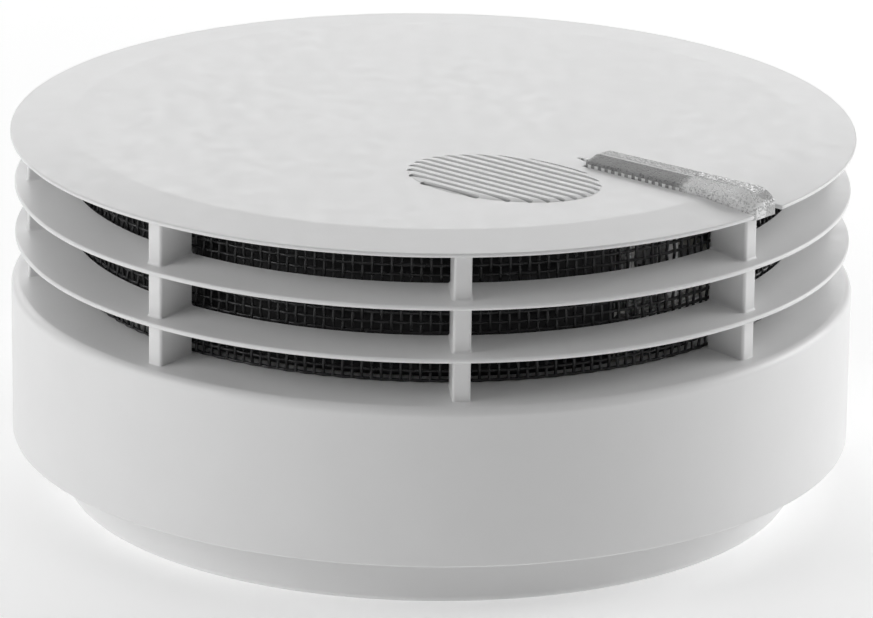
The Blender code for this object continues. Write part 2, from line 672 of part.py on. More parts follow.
def make_board(green, dark, copper, head):
    """Round circuit board and the larger components that stand on it."""
    bm = bmesh.new()
    add_prism(bm, circle(BOARD_R, ROUND), BOARD_Z, BOARD_TOP_Z)
    board = piece("circuit_board", green, bm, head)
    bm = bmesh.new()
    for azimuth in POST_AZIMUTHS:
        hole = circle(SCREW_R + GAP, centre=polar(POST_AT_R, azimuth))
        add_prism(bm, hole, BOARD_Z - BOARD_T, BOARD_TOP_Z + BOARD_T)
    shape(board, bm, "DIFFERENCE", "screw_holes")

    bm = bmesh.new()
    x, y = CONTROLLER_AT
    half = CONTROLLER_SIZE / 2
    add_prism(bm, rectangle(x - half, x + half, y - half, y + half), SEATED_Z, SEATED_Z + CONTROLLER_H)
    piece("microcontroller", dark, bm, head)

    bm = bmesh.new()
    top = SEATED_Z + CAPACITOR_H
    edge = CAPACITOR_EDGE
    profile = [(0.0, top), (CAPACITOR_R - edge, top), (CAPACITOR_R, top - edge)]
    profile += [(CAPACITOR_R, SEATED_Z), (0.0, SEATED_Z)]
    add_turned(bm, profile, SMALL_ROUND, CAPACITOR_AT)
    piece("capacitor", dark, bm, head)

    bm = bmesh.new()
    top = SEATED_Z + INDUCTOR_H
    flange = INDUCTOR_FLANGE
    waist = INDUCTOR_R - WINDING_INSET
    profile = [(0.0, top), (INDUCTOR_R, top), (INDUCTOR_R, top - flange), (waist, top - flange)]
    profile += [(waist, SEATED_Z + flange), (INDUCTOR_R, SEATED_Z + flange)]
    profile += [(INDUCTOR_R, SEATED_Z), (0.0, SEATED_Z)]
    add_turned(bm, profile, SMALL_ROUND, INDUCTOR_AT)
    piece("inductor", copper, bm, head)


def make_screws(steel, head):
    """Three long screws from the back plate, through the board, into the cover's posts."""
    foot = BACK_Z - GAP - SCREW_HEAD_H
    for i, azimuth in enumerate(POST_AZIMUTHS):
        x, y = polar(POST_AT_R, azimuth)
        tip = SEATED_Z + SCREW_GRIP
        bm = bmesh.new()
        profile = [(0.0, tip), (SCREW_R * 0.5, tip), (SCREW_R, tip - SCREW_R)]
        profile += [(SCREW_R, foot + SCREW_HEAD_H), (SCREW_HEAD_R, foot + SCREW_HEAD_H)]
        profile += [(SCREW_HEAD_R, foot), (0.0, foot)]
        add_turned(bm, profile, SMALL_ROUND, (x, y))
        piece(f"assembly_screw_{i + 1}", steel, bm, head)


# ---------------------------------------------------------------- sounder and optical chamber


def make_sounder(white, brass, rubber, steel, head):
    """Horn under the grille: tube, piezo disc on its contact springs, resonator cap and gasket."""
    centre = polar(GRILLE_AT_R, GRILLE_AZIMUTH)
    shelf_z = SEATED_Z + PIEZO_CAVITY
    gasket_z = COVER_UNDER_Z - GAP - GASKET_T
    bm = bmesh.new()
    low_bore = SOUNDER_BORE_R - SOUNDER_SHELF
    profile = [(SOUNDER_R, gasket_z - GAP), (SOUNDER_R, SEATED_Z), (low_bore, SEATED_Z)]
    profile += [(low_bore, shelf_z), (SOUNDER_BORE_R, shelf_z), (SOUNDER_BORE_R, gasket_z - GAP)]
    add_turned(bm, profile, ROUND // 2, centre)
    piece("sounder_housing", white, bm, head)

    bm = bmesh.new()
    disc_r = SOUNDER_BORE_R - GAP
    disc_z = shelf_z + GAP
    add_turned(bm, [(0.0, disc_z + PIEZO_T), (disc_r, disc_z + PIEZO_T), (disc_r, disc_z), (0.0, disc_z)],
               ROUND // 2, centre)
    piece("piezo_disc", brass, bm, head)

    bm = bmesh.new()
    cap_z = disc_z + PIEZO_T + GAP
    profile = [(CAP_HOLE_R, cap_z + CAP_H), (disc_r, cap_z + CAP_H), (disc_r, cap_z)]
    profile += [(disc_r - CAP_T, cap_z), (disc_r - CAP_T, cap_z + CAP_H - CAP_T)]
    profile.append((CAP_HOLE_R, cap_z + CAP_H - CAP_T))
    add_turned(bm, profile, ROUND // 2, centre)
    piece("resonator_cap", white, bm, head)

    bm = bmesh.new()
    top = gasket_z + GASKET_T
    profile = [(SOUNDER_R, top), (SOUNDER_R, gasket_z), (SOUNDER_BORE_R, gasket_z), (SOUNDER_BORE_R, top)]
    add_turned(bm, profile, ROUND // 2, centre)
    piece("sounder_gasket", rubber, bm, head)

    for i, side in enumerate((-1, 1)):
        spot = (centre[0] + side * PIEZO_SPRING_OFFSET, centre[1])
        bm = bmesh.new()
        add_coil(bm, spot, PIEZO_SPRING_R, SPRING_WIRE_R, SEATED_Z, disc_z - GAP, turns=5)
        piece(f"piezo_spring_{i + 1}", steel, bm, head)


def make_chamber(black, clear, dark, head):
    """Optical chamber: a floor with two holders, a lid with slanted light-trap vanes, and two emitters."""
    centre = polar(CHAMBER_AT_R, GRILLE_AZIMUTH + 180)
    middle = Vector((*centre, 0.0))
    floor_top = SEATED_Z + CHAMBER_FLOOR_T
    beam_z = floor_top + HOLDER_H / 2
    vane_r = CHAMBER_R - VANE_L / 2
    holder_out = vane_r - VANE_L / 2 - GAP

    bm = bmesh.new()
    add_prism(bm, circle(CHAMBER_R, ROUND // 2, centre), SEATED_Z, floor_top)
    base = piece("chamber_base", black, bm, head)
    for name, azimuth in HOLDER_AZIMUTHS.items():
        out = heading(azimuth)
        across = Vector((-out.y, out.x, 0.0)) * HOLDER_W / 2
        ends = [middle + out * (holder_out - HOLDER_L), middle + out * holder_out]
        corners = [ends[0] - across, ends[1] - across, ends[1] + across, ends[0] + across]
        bm = bmesh.new()
        outline = [(point.x, point.y) for point in corners]
        add_prism(bm, outline, SEATED_Z + CHAMBER_FLOOR_T / 2, floor_top + HOLDER_H)
        shape(base, bm, "UNION", f"{name}_holder")
        bm = bmesh.new()
        mouth = middle + out * (holder_out - HOLDER_L - GAP) + Vector((0, 0, beam_z))
        depth = HOLDER_L - HOLDER_END + GAP
        add_rod(bm, mouth, out, [(0, EMITTER_R + GAP), (depth, EMITTER_R + GAP)])
        shape(base, bm, "DIFFERENCE", f"{name}_bore")
        bm = bmesh.new()
        tip = mouth + out * (depth - EMITTER_L - GAP)
        stations = [(0, EMITTER_R * 0.3), (EMITTER_R * 0.3, EMITTER_R * 0.8)]
        stations += [(EMITTER_R * 0.9, EMITTER_R), (EMITTER_L, EMITTER_R)]
        add_rod(bm, tip, out, stations)
        piece(name, clear if name == "infrared_led" else dark, bm, head)

    lid_top = SEATED_Z + CHAMBER_H
    bm = bmesh.new()
    add_prism(bm, circle(CHAMBER_R, ROUND // 2, centre), lid_top - CHAMBER_FLOOR_T, lid_top)
    cover = piece("chamber_cover", black, bm, head)
    bm = bmesh.new()
    for i in range(VANE_COUNT):
        azimuth = i * 360 / VANE_COUNT
        spot = middle + heading(azimuth) * (vane_r - GAP)
        along = heading(azimuth + VANE_TURN) * VANE_L / 2
        side = Vector((-along.y, along.x, 0.0)).normalized() * VANE_T / 2
        corners = [spot - along - side, spot + along - side, spot + along + side, spot - along + side]
        outline = [(point.x, point.y) for point in corners]
        add_prism(bm, outline, floor_top + GAP, lid_top - CHAMBER_FLOOR_T / 2)
    shape(cover, bm, "UNION", "vanes")


# ---------------------------------------------------------------- test button, switch and status light


def make_button(clear, steel, head):
    """Clear bar with a stem over the switch and a light leg, and the spring that lifts it."""
    x, y = polar(STEM_AT_R, BUTTON_AZIMUTH)
    slide = axis_empty("button_axis", (x, y, 0.0), head)
    top = COVER_Z + BUTTON_PROUD
    bm = bmesh.new()
    full = bar_outline(0.0)
    inset = bar_outline(-BUTTON_BEVEL)
    levels = ((BUTTON_BOTTOM_Z, full), (top - BUTTON_BEVEL, full), (top, inset))
    add_loft(bm, [[(px, py, z) for px, py in outline] for z, outline in levels])
    button = piece("test_button", clear, bm, slide, (x, y, STEM_FOOT_Z))

    bm = bmesh.new()
    into_bar = COVER_Z
    add_prism(bm, circle(STEM_R, centre=(x, y)), STEM_FOOT_Z, into_bar)
    leg = circle(LEG_R, centre=polar(LEG_AT_R, BUTTON_AZIMUTH))
    add_prism(bm, leg, SEATED_Z + LED_H + BUTTON_TRAVEL + GAP, into_bar)
    shape(button, bm, "UNION", "stem_and_leg")
    bm = bmesh.new()
    collar = circle(STEM_COLLAR_R, centre=(x, y))
    add_prism(bm, collar, STEM_COLLAR_Z, STEM_COLLAR_Z + STEM_COLLAR_T)
    shape(button, bm, "UNION", "collar")

    bm = bmesh.new()
    add_coil(bm, (x, y), BUTTON_SPRING_R, SPRING_WIRE_R, SEATED_Z, STEM_COLLAR_Z - GAP, turns=4)
    piece("button_spring", steel, bm, head, (x, y, SEATED_Z))


def make_switch(dark, white, red, head):
    """Small push switch under the stem, with its plunger, and the status light under the leg."""
    x, y = polar(STEM_AT_R, BUTTON_AZIMUTH)
    half = SWITCH_SIZE / 2
    bm = bmesh.new()
    add_prism(bm, rectangle(x - half, x + half, y - half, y + half), SEATED_Z, SWITCH_TOP_Z)
    body = piece("switch_body", dark, bm, head)
    bm = bmesh.new()
    bore_z = SWITCH_TOP_Z - PLUNGER_DEPTH - BUTTON_TRAVEL - GAP
    add_prism(bm, circle(PLUNGER_R + GAP, centre=(x, y)), bore_z, SWITCH_TOP_Z + GAP)
    shape(body, bm, "DIFFERENCE", "plunger_bore")

    bm = bmesh.new()
    low = SWITCH_TOP_Z - PLUNGER_DEPTH
    add_prism(bm, circle(PLUNGER_R, centre=(x, y)), low, SWITCH_TOP_Z + PLUNGER_PROUD)
    piece("switch_plunger", white, bm, head, (x, y, low))

    bm = bmesh.new()
    dome = LED_R * 0.6
    crown = SEATED_Z + LED_H
    profile = [(0.0, crown), (LED_R * 0.6, crown - dome * 0.2), (LED_R, crown - dome)]
    profile += [(LED_R, SEATED_Z), (0.0, SEATED_Z)]
    add_turned(bm, profile, SMALL_ROUND, polar(LEG_AT_R, BUTTON_AZIMUTH))
    piece("status_led", red, bm, head)


def main():
    """Builds every piece, the base first, then the head from the outside in."""
    clear_scene()
    white = finish_colour("white_abs", (0.80, 0.80, 0.80), 0.45)
    black = finish_colour("black_abs", (0.03, 0.03, 0.03), 0.6)
    dark = finish_colour("dark_grey", (0.06, 0.06, 0.07), 0.5)
    clear = finish_colour("clear_acrylic", (0.90, 0.90, 0.90), 0.12, transmission=0.8)
    green = finish_colour("board_green", (0.03, 0.20, 0.08), 0.5)
    copper = finish_colour("copper_winding", (0.50, 0.23, 0.10), 0.35, 1.0)
    brass = finish_colour("brass", (0.70, 0.55, 0.25), 0.3, 1.0)
    steel = finish_colour("zinc_steel", (0.60, 0.60, 0.62), 0.3, 1.0)
    rubber = finish_colour("black_foam", (0.04, 0.04, 0.04), 0.9)
    red = finish_colour("red_epoxy", (0.60, 0.03, 0.02), 0.2)

    make_base_plate(white)
    head = axis_empty("head_axis", (0.0, 0.0, 0.0))
    make_outer_shell(white, head)
    make_louvre("lower_louvre", 0, lambda r: louvre_z(1, r) - GAP, white, head)
    make_louvre("upper_louvre", 1, lambda r: COVER_RIM_Z - GAP, white, head)
    make_top_cover(white, head)
    make_insect_screen(black, head)
    make_back_plate(white, head)
    make_battery(dark, brass, head)
    make_board(green, dark, copper, head)
    make_screws(steel, head)
    make_sounder(white, brass, rubber, steel, head)
    make_chamber(black, clear, dark, head)
    make_button(clear, steel, head)
    make_switch(dark, white, red, head)


main()
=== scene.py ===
"""Looks of a round ceiling smoke detector: louvred head, insect screen, grille and clear test bar."""

import logging
import math
from collections.abc import Callable, Iterable, Sequence
from dataclasses import dataclass
from enum import Enum

import bmesh
import bpy
from mathutils import Matrix, Vector

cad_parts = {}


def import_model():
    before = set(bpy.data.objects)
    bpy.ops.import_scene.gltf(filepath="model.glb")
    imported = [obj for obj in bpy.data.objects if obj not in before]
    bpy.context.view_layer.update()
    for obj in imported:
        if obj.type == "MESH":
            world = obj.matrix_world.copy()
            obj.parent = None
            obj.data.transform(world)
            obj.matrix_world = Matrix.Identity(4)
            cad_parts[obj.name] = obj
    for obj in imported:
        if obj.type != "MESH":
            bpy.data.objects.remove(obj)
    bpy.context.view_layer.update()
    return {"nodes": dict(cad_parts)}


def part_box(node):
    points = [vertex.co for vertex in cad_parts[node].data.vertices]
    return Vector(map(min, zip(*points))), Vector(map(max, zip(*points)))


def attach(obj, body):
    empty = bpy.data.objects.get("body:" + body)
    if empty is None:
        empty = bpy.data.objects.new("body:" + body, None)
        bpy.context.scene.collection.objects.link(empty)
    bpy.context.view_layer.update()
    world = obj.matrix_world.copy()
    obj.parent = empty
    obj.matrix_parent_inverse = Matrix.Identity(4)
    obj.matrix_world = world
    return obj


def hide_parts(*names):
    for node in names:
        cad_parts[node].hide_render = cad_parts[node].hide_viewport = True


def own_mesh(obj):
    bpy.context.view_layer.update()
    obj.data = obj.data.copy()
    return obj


MM = 0.001
SMOOTH_STEPS = 384  # round each large turned piece

log = logging.getLogger("smoke_detector")

Pair = tuple[float, float]
Triple = tuple[float, float, float]
Colour = Triple
Height = Callable[[float], float]
Mesh = bmesh.types.BMesh
Object = bpy.types.Object
Material = bpy.types.Material
Socket = bpy.types.NodeSocket


class Body(Enum):
    """Moving bodies that pieces ride on."""

    BASE = "base"
    HEAD = "head"
    BUTTON = "button"


class Slot(Enum):
    """Material slots of the record, one named with each piece."""

    WHITE = "white_abs"
    SCREEN = "black_mesh"
    CLEAR = "clear_acrylic"
    BLACK = "black_abs"
    STEEL = "zinc_steel"


# ------------------------------------------------------------------ shared sizes


@dataclass(frozen=True)
class HeadSizes:
    """Sizes that several pieces of the head line up with.

    Attributes:
        radius: Outside of the wall.
        screen: Outside of the insect screen.
        slope: Fall of the ledge and the louvres per unit of radius.
        ledge_edge: (radius, height) where the ledge meets the wall's rounded edge.
        louvre_radius: Outside of the louvres.
        louvre_z: Undersides of the two louvres at their rims.
        louvre_t: Thickness of the louvres.
        louvre_gap: Gap between the screen and the louvres.
        rim_z: Underside of the cover's rim.
        cover_z: Flat top of the cover.
        cover_under_z: Underside of the cover inside the screen.
        bar_azimuth: Direction of the test bar, in degrees from the front.
    """

    radius: float = 62.5 * MM
    screen: float = 53.35 * MM
    slope: float = math.tan(math.radians(5.5))
    ledge_edge: Pair = (61.1 * MM, 31.85 * MM)
    louvre_radius: float = 61.9 * MM
    louvre_z: Pair = (38.35 * MM, 46.10 * MM)
    louvre_t: float = 0.75 * MM
    louvre_gap: float = 0.3 * MM
    rim_z: float = 54.05 * MM
    cover_z: float = 55.47 * MM
    cover_under_z: float = 53.07 * MM
    bar_azimuth: float = 49.7

    @property
    def louvre_inner(self) -> float:
        """Inner radius of the louvres and their ribs."""
        return self.screen + self.louvre_gap

    def ledge(self, radius: float) -> float:
        """Height of the ledge at a radius."""
        return self.ledge_edge[1] + (self.ledge_edge[0] - radius) * self.slope

    def louvre_under(self, level: int, radius: float) -> float:
        """Height of a louvre's underside at a radius."""
        return self.louvre_z[level] + (self.louvre_radius - radius) * self.slope

    def louvre_top(self, level: int, radius: float) -> float:
        """Height of a louvre's upper side at a radius."""
        return self.louvre_under(level, radius) + self.louvre_t


HEAD = HeadSizes()


# ------------------------------------------------------------------ outlines and meshes


def heading(azimuth: float) -> Vector:
    """Gives the unit vector of an azimuth, in degrees from the front towards +X."""
    turn = math.radians(azimuth)
    return Vector((math.sin(turn), -math.cos(turn), 0.0))


def left_of(out: Vector) -> Vector:
    """Gives a level vector after a quarter turn, anticlockwise as seen from above."""
    return Vector((-out.y, out.x, 0.0))


def raised(height: float) -> Vector:
    """Gives the upright vector of a height."""
    return Vector((0, 0, height))


def arc(centre: Pair, radius: float, start: float, end: float, steps: int = 6) -> list[Pair]:
    """Gives points along an arc.

    Args:
        centre: Middle of the arc.
        radius: Its radius.
        start: First angle in degrees.
        end: Last angle in degrees.
        steps: Number of steps between the two.

    Returns:
        The points, both ends among them.
    """
    turns = [math.radians(start + (end - start) * i / steps) for i in range(steps + 1)]
    return [(centre[0] + radius * math.cos(a), centre[1] + radius * math.sin(a)) for a in turns]


def circle(middle: Vector, radius: float, count: int) -> list[Pair]:
    """Gives evenly spaced points of a level circle."""
    return arc((middle.x, middle.y), radius, 0, 360 - 360 / count, count - 1)


def rounded(corners: Sequence[Triple], steps: int = 6) -> list[Pair]:
    """Rounds the corners of a closed outline.

    Args:
        corners: (x, y, radius) of each corner; a radius of 0 leaves it sharp.
        steps: Number of steps round each corner.

    Returns:
        Points of the rounded outline.
    """
    points: list[Pair] = []
    for i, (x, y, radius) in enumerate(corners):
        if radius <= 0:
            points.append((x, y))
            continue
        here = Vector((x, y))
        back = Vector(corners[i - 1][:2]) - here
        ahead = Vector(corners[(i + 1) % len(corners)][:2]) - here
        half = back.angle(ahead) / 2
        cut = min(radius / math.tan(half), 0.49 * back.length, 0.49 * ahead.length)
        radius = cut * math.tan(half)
        middle = here + (back.normalized() + ahead.normalized()).normalized() * radius / math.sin(half)
        first = here + back.normalized() * cut - middle
        last = here + ahead.normalized() * cut - middle
        start = math.atan2(first.y, first.x)
        sweep = (math.atan2(last.y, last.x) - start + math.pi) % (2 * math.pi) - math.pi
        for k in range(steps + 1):
            turn = start + sweep * k / steps
            points.append((middle.x + radius * math.cos(turn), middle.y + radius * math.sin(turn)))
    return points


def rectangle(low: Pair, high: Pair, corners: Sequence[float] = (0, 0, 0, 0), steps: int = 6) -> list[Pair]:
    """Gives a rectangle's outline.

    Args:
        low: Its lower left corner.
        high: Its upper right corner.
        corners: Rounding of each corner, anticlockwise from the lower left.
        steps: Number of steps round each corner.

    Returns:
        Points of the outline.
    """
    (left, foot), (right, top) = low, high
    places = zip((left, right, right, left), (foot, foot, top, top), corners)
    return rounded(list(places), steps)


def add_turned(bm: Mesh, profile: Sequence[Pair], capped: bool = False) -> None:
    """Sweeps an outline of (radius, height) points round the upright axis.

    Args:
        bm: Mesh to add to.
        profile: Outline of the section.
        capped: Closes the first and the last ring with a flat face, in place of joining them.
    """
    turns = [2 * math.pi * i / SMOOTH_STEPS for i in range(SMOOTH_STEPS)]
    rings = [[bm.verts.new((r * math.cos(a), r * math.sin(a), z)) for a in turns] for r, z in profile]
    followers = rings[1:] if capped else rings[1:] + rings[:1]
    for ring, following in zip(rings, followers):
        for i in range(SMOOTH_STEPS):
            j = (i + 1) % SMOOTH_STEPS
            bm.faces.new((ring[i], following[i], following[j], ring[j]))
    if capped:
        bm.faces.new(rings[0])
        bm.faces.new(rings[-1][::-1])


def add_loft(bm: Mesh, loops: Sequence[Sequence[Iterable[float]]]) -> None:
    """Joins loops of equally many points into a closed solid.

    Args:
        bm: Mesh to add to.
        loops: Loops of points, in order along the solid.
    """
    rings = [[bm.verts.new(tuple(point)) for point in loop] for loop in loops]
    count = len(rings[0])
    for lower, upper in zip(rings, rings[1:]):
        for i in range(count):
            j = (i + 1) % count
            bm.faces.new((lower[i], lower[j], upper[j], upper[i]))
    bm.faces.new(rings[0][::-1])
    bm.faces.new(rings[-1])


def add_sector(bm: Mesh, section: Sequence[Pair], start: float, end: float) -> None:
    """Sweeps a (radius, height) section between two azimuths.

    Args:
        bm: Mesh to add to.
        section: Outline of the section.
        start: First azimuth.
        end: Last azimuth.
    """
    steps = max(2, int(abs(end - start)))
    loops = []
    for i in range(steps + 1):
        out = heading(start + (end - start) * i / steps)
        loops.append([out * r + raised(z) for r, z in section])
    add_loft(bm, loops)


def add_prism(bm: Mesh, outline: Sequence[Pair], low: float, high: float) -> None:
    """Adds an upright prism on an outline.

    Args:
        bm: Mesh to add to.
        outline: (x, y) points.
        low: Height of its foot.
        high: Height of its top.
    """
    add_loft(bm, [[(x, y, z) for x, y in outline] for z in (low, high)])


def stadium(middle: Vector, along: Vector, reach: Pair, width: float, steps: int = 8) -> list[Pair]:
    """Gives the outline of a slot with round ends.

    Args:
        middle: Point on the slot's middle line.
        along: Unit vector of the slot's length.
        reach: Where the slot starts and ends along that line.
        width: Width of the slot.
        steps: Number of steps round each end.

    Returns:
        (x, y) points of the outline.
    """
    across = left_of(along)
    half = width / 2
    start, end = reach[0] + half, reach[1] - half
    local = arc((end, 0.0), half, -90, 90, steps) + arc((start, 0.0), half, 90, 270, steps)
    spots = [middle + along * u + across * v for u, v in local]
    return [(spot.x, spot.y) for spot in spots]


def linked(name: str, data: bpy.types.ID) -> Object:
    """Puts an object with its data in the scene."""
    obj = bpy.data.objects.new(name, data)
    bpy.context.scene.collection.objects.link(obj)
    return obj


def smooth(mesh: bpy.types.Mesh, sharp: float) -> None:
    """Shades a mesh smooth, apart from the edges over an angle in degrees."""
    mesh.shade_smooth()
    mesh.set_sharp_from_angle(angle=math.radians(sharp))


def mesh_object(name: str, bm: Mesh, sharp: float = 40.0) -> Object:
    """Turns a mesh in world places into an object at the origin.

    Args:
        name: Name of the object.
        bm: Its mesh, which is freed.
        sharp: Angle in degrees from which an edge stays sharp.

    Returns:
        The object, in the scene.
    """
    bmesh.ops.recalc_face_normals(bm, faces=bm.faces)
    mesh = bpy.data.meshes.new(name)
    bm.to_mesh(mesh)
    bm.free()
    smooth(mesh, sharp)
    return linked(name, mesh)


def even_normals(obj: Object) -> None:
    """Keeps large flat faces flat where they meet small rounded edges."""
    modifier = obj.modifiers.new("even_normals", "WEIGHTED_NORMAL")
    modifier.keep_sharp = True


def bake(obj: Object, sharp: float = 40.0) -> None:
    """Applies an object's modifiers to its mesh.

    Args:
        obj: The object.
        sharp: Angle in degrees from which an edge stays sharp.
    """
    bpy.context.view_layer.update()
    graph = bpy.context.evaluated_depsgraph_get()
    mesh = bpy.data.meshes.new_from_object(obj.evaluated_get(graph))
    obj.modifiers.clear()
    obj.data = mesh
    mesh.name = obj.name
    smooth(mesh, sharp)


def cut(obj: Object, cutters: Sequence[Mesh]) -> None:
    """Cuts solids from an object and applies the result.

    Args:
        obj: The object to cut.
        cutters: Meshes in world places, which are freed.
    """
    helpers = []
    for i, bm in enumerate(cutters):
        helper = mesh_object(f"{obj.name}_cutter_{i}", bm)
        boolean = obj.modifiers.new(helper.name, "BOOLEAN")
        boolean.operation = "DIFFERENCE"
        boolean.solver = "EXACT"
        boolean.object = helper
        helpers.append(helper)
    bake(obj)
    for helper in helpers:
        bpy.data.objects.remove(helper, do_unlink=True)


def soften(obj: Object, width: float, angle: float = 55.0) -> None:
    """Rounds an object's sharp edges a little, as a mould leaves them.

    Args:
        obj: The object.
        width: Width of the rounding.
        angle: Angle in degrees from which an edge is rounded.
    """
    bevel = obj.modifiers.new("softened_edges", "BEVEL")
    bevel.width = width
    bevel.segments = 2
    bevel.limit_method = "ANGLE"
    bevel.angle_limit = math.radians(angle)
    bevel.use_clamp_overlap = True
    bake(obj, 50.0)


# ------------------------------------------------------------------ finishes


class NodeSheet:
    """A material's nodes, with short calls that add and join them."""

    def __init__(self, name: str) -> None:
        """Starts a material whose textures lie in the part's own metres.

        Args:
            name: Name of the material.
        """
        self.material = bpy.data.materials.new(name)
        self.material.use_nodes = True
        self.tree = self.material.node_tree
        self.shader = self.tree.nodes["Principled BSDF"]
        self.place = self.add("ShaderNodeTexCoord").outputs["Object"]

    def add(self, kind: str, sockets: dict | None = None, **settings: object) -> bpy.types.Node:
        """Adds a node.

        Args:
            kind: Type of the node.
            sockets: Values or outputs for its inputs, by name or index.
            settings: Values for its own settings.

        Returns:
            The node.
        """
        node = self.tree.nodes.new(kind)
        for key, value in settings.items():
            setattr(node, key, value)
        for key, value in (sockets or {}).items():
            self.put(node.inputs[key], value)
        return node

    def put(self, socket: Socket, value: object) -> None:
        """Joins an output to a socket, or sets the socket's value."""
        if isinstance(value, Socket):
            self.tree.links.new(value, socket)
        else:
            socket.default_value = value

    def surface(self, **values: object) -> None:
        """Sets the shader's sockets, with underscores for the spaces in their names."""
        for key, value in values.items():
            self.put(self.shader.inputs[key.replace("_", " ")], value)

    def axis(self, name: str) -> Socket:
        """Gives a place's X, Y or Z."""
        return self.add("ShaderNodeSeparateXYZ", {"Vector": self.place}).outputs[name]

    def along(self, line: Vector) -> Socket:
        """Gives a place's distance along a line through the origin."""
        sockets = {0: self.place, 1: tuple(line)}
        return self.add("ShaderNodeVectorMath", sockets, operation="DOT_PRODUCT").outputs["Value"]

    def noise(self, size: float, detail: float = 3.0, stretch: Triple = (1.0, 1.0, 1.0)) -> Socket:
        """Gives a noise whose features are about a size.

        Args:
            size: Size of the features in metres.
            detail: Number of finer layers.
            stretch: Scale along each axis.

        Returns:
            The noise's value.
        """
        spot = self.add("ShaderNodeMapping", {"Vector": self.place, "Scale": stretch}).outputs[0]
        sockets = {"Vector": spot, "Scale": 1 / size, "Detail": detail}
        return self.add("ShaderNodeTexNoise", sockets).outputs["Fac"]

    def cells(self, scale: float, stray: float = 1.0, measure: str = "EUCLIDEAN") -> Socket:
        """Gives the distance to the middle of the nearest cell.

        Args:
            scale: Cells per metre.
            stray: How far their middles stray from an even grid, from 0 to 1.
            measure: How the distance is measured.

        Returns:
            The distance.
        """
        sockets = {"Vector": self.place, "Scale": scale, "Randomness": stray}
        return self.add("ShaderNodeTexVoronoi", sockets, distance=measure).outputs["Distance"]

    def ramp(self, value: Socket, low: float, high: float, start: float = 0.3, end: float = 0.7) -> Socket:
        """Spreads a value over a range of numbers.

        Args:
            value: The value.
            low: Result where the value is at the start.
            high: Result where it is at the end.
            start: Where the range starts.
            end: Where it ends.

        Returns:
            The result.
        """
        sockets = {"Value": value, "From Min": start, "From Max": end, "To Min": low, "To Max": high}
        return self.add("ShaderNodeMapRange", sockets).outputs["Result"]

    def blend(self, factor: object, first: object, second: object) -> Socket:
        """Mixes two colours.

        Args:
            factor: Share of the second colour.
            first: The first colour, as three numbers or an output.
            second: The second colour.

        Returns:
            The mixed colour.
        """
        node = self.add("ShaderNodeMix", data_type="RGBA")
        self.put(node.inputs[0], factor)
        for socket, colour in ((node.inputs[6], first), (node.inputs[7], second)):
            self.put(socket, (*colour, 1.0) if isinstance(colour, tuple) else colour)
        return node.outputs[2]

    def maths(self, operation: str, *values: object) -> Socket:
        """Works out one number from others.

        Args:
            operation: Name of the operation.
            values: Numbers or outputs.

        Returns:
            The result.
        """
        return self.add("ShaderNodeMath", dict(enumerate(values)), operation=operation).outputs[0]

    def bump(self, height: Socket, depth: float, under: Socket | None = None) -> Socket:
        """Gives normals that follow a height.

        Args:
            height: The height, from 0 to 1.
            depth: Depth of a full step, in metres.
            under: Normals that it adds to.

        Returns:
            The normals.
        """
        node = self.add("ShaderNodeBump", {"Height": height, "Strength": 1.0, "Distance": depth})
        if under:
            self.put(node.inputs["Normal"], under)
        return node.outputs["Normal"]


def shaded(colour: Colour, share: float) -> Colour:
    """Gives a colour made darker or lighter by a share."""
    return tuple(min(1.0, part * (1 + share)) for part in colour)


@dataclass(frozen=True)
class MouldedPlastic:
    """Moulded plastic with a fine eroded grain, slow waviness and slightly uneven gloss.

    Attributes:
        name: Name of the finish.
        colour: Its colour.
        roughness: Middle of its roughness.
        uneven: Share by which the colour varies.
        gloss: Least and most roughness, counted from its middle.
        grain: (size, depth) of the grain.
        wave: (size, depth) of the slow waviness.
    """

    name: str
    colour: Colour
    roughness: float = 0.42
    uneven: float = 0.01
    gloss: Pair = (-0.04, 0.05)
    grain: Pair = (0.30 * MM, 0.006 * MM)
    wave: Pair = (7 * MM, 0.012 * MM)

    def material(self) -> Material:
        """Builds the material."""
        sheet = NodeSheet(self.name)
        dark, pale = shaded(self.colour, -self.uneven), shaded(self.colour, self.uneven / 2)
        tint = sheet.blend(sheet.ramp(sheet.noise(9 * MM), 0.0, 1.0), dark, pale)
        least, most = (self.roughness + part for part in self.gloss)
        gloss = sheet.ramp(sheet.noise(2.5 * MM, 4.0), least, most)
        slow = sheet.bump(sheet.noise(self.wave[0], 1.0), self.wave[1])
        normal = sheet.bump(sheet.noise(self.grain[0], 2.0), self.grain[1], slow)
        sheet.surface(Base_Color=tint, Roughness=gloss, Normal=normal)
        return sheet.material


@dataclass(frozen=True)
class WornMetal:
    """Plated or rolled metal with fine drawn lines and dull patches.

    Attributes:
        name: Name of the finish.
        colour: Its colour.
        roughness: Middle of its roughness.
        drawn: Scale of the lines along each axis.
        wear: Least and most roughness, counted from its middle.
    """

    name: str
    colour: Colour
    roughness: float = 0.3
    drawn: Triple = (1.0, 12.0, 1.0)
    wear: Pair = (-0.08, 0.15)

    def material(self) -> Material:
        """Builds the material."""
        sheet = NodeSheet(self.name)
        least, most = (self.roughness + part for part in self.wear)
        patches = sheet.ramp(sheet.noise(1.5 * MM, 4.0), least, most)
        lines = sheet.noise(0.8 * MM, 2.0, self.drawn)
        cloud = sheet.ramp(sheet.noise(3 * MM), 0.0, 1.0)
        tint = sheet.blend(cloud, shaded(self.colour, -0.15), self.colour)
        sheet.surface(Base_Color=tint, Metallic=1.0, Roughness=patches, Normal=sheet.bump(lines, 0.004 * MM))
        return sheet.material


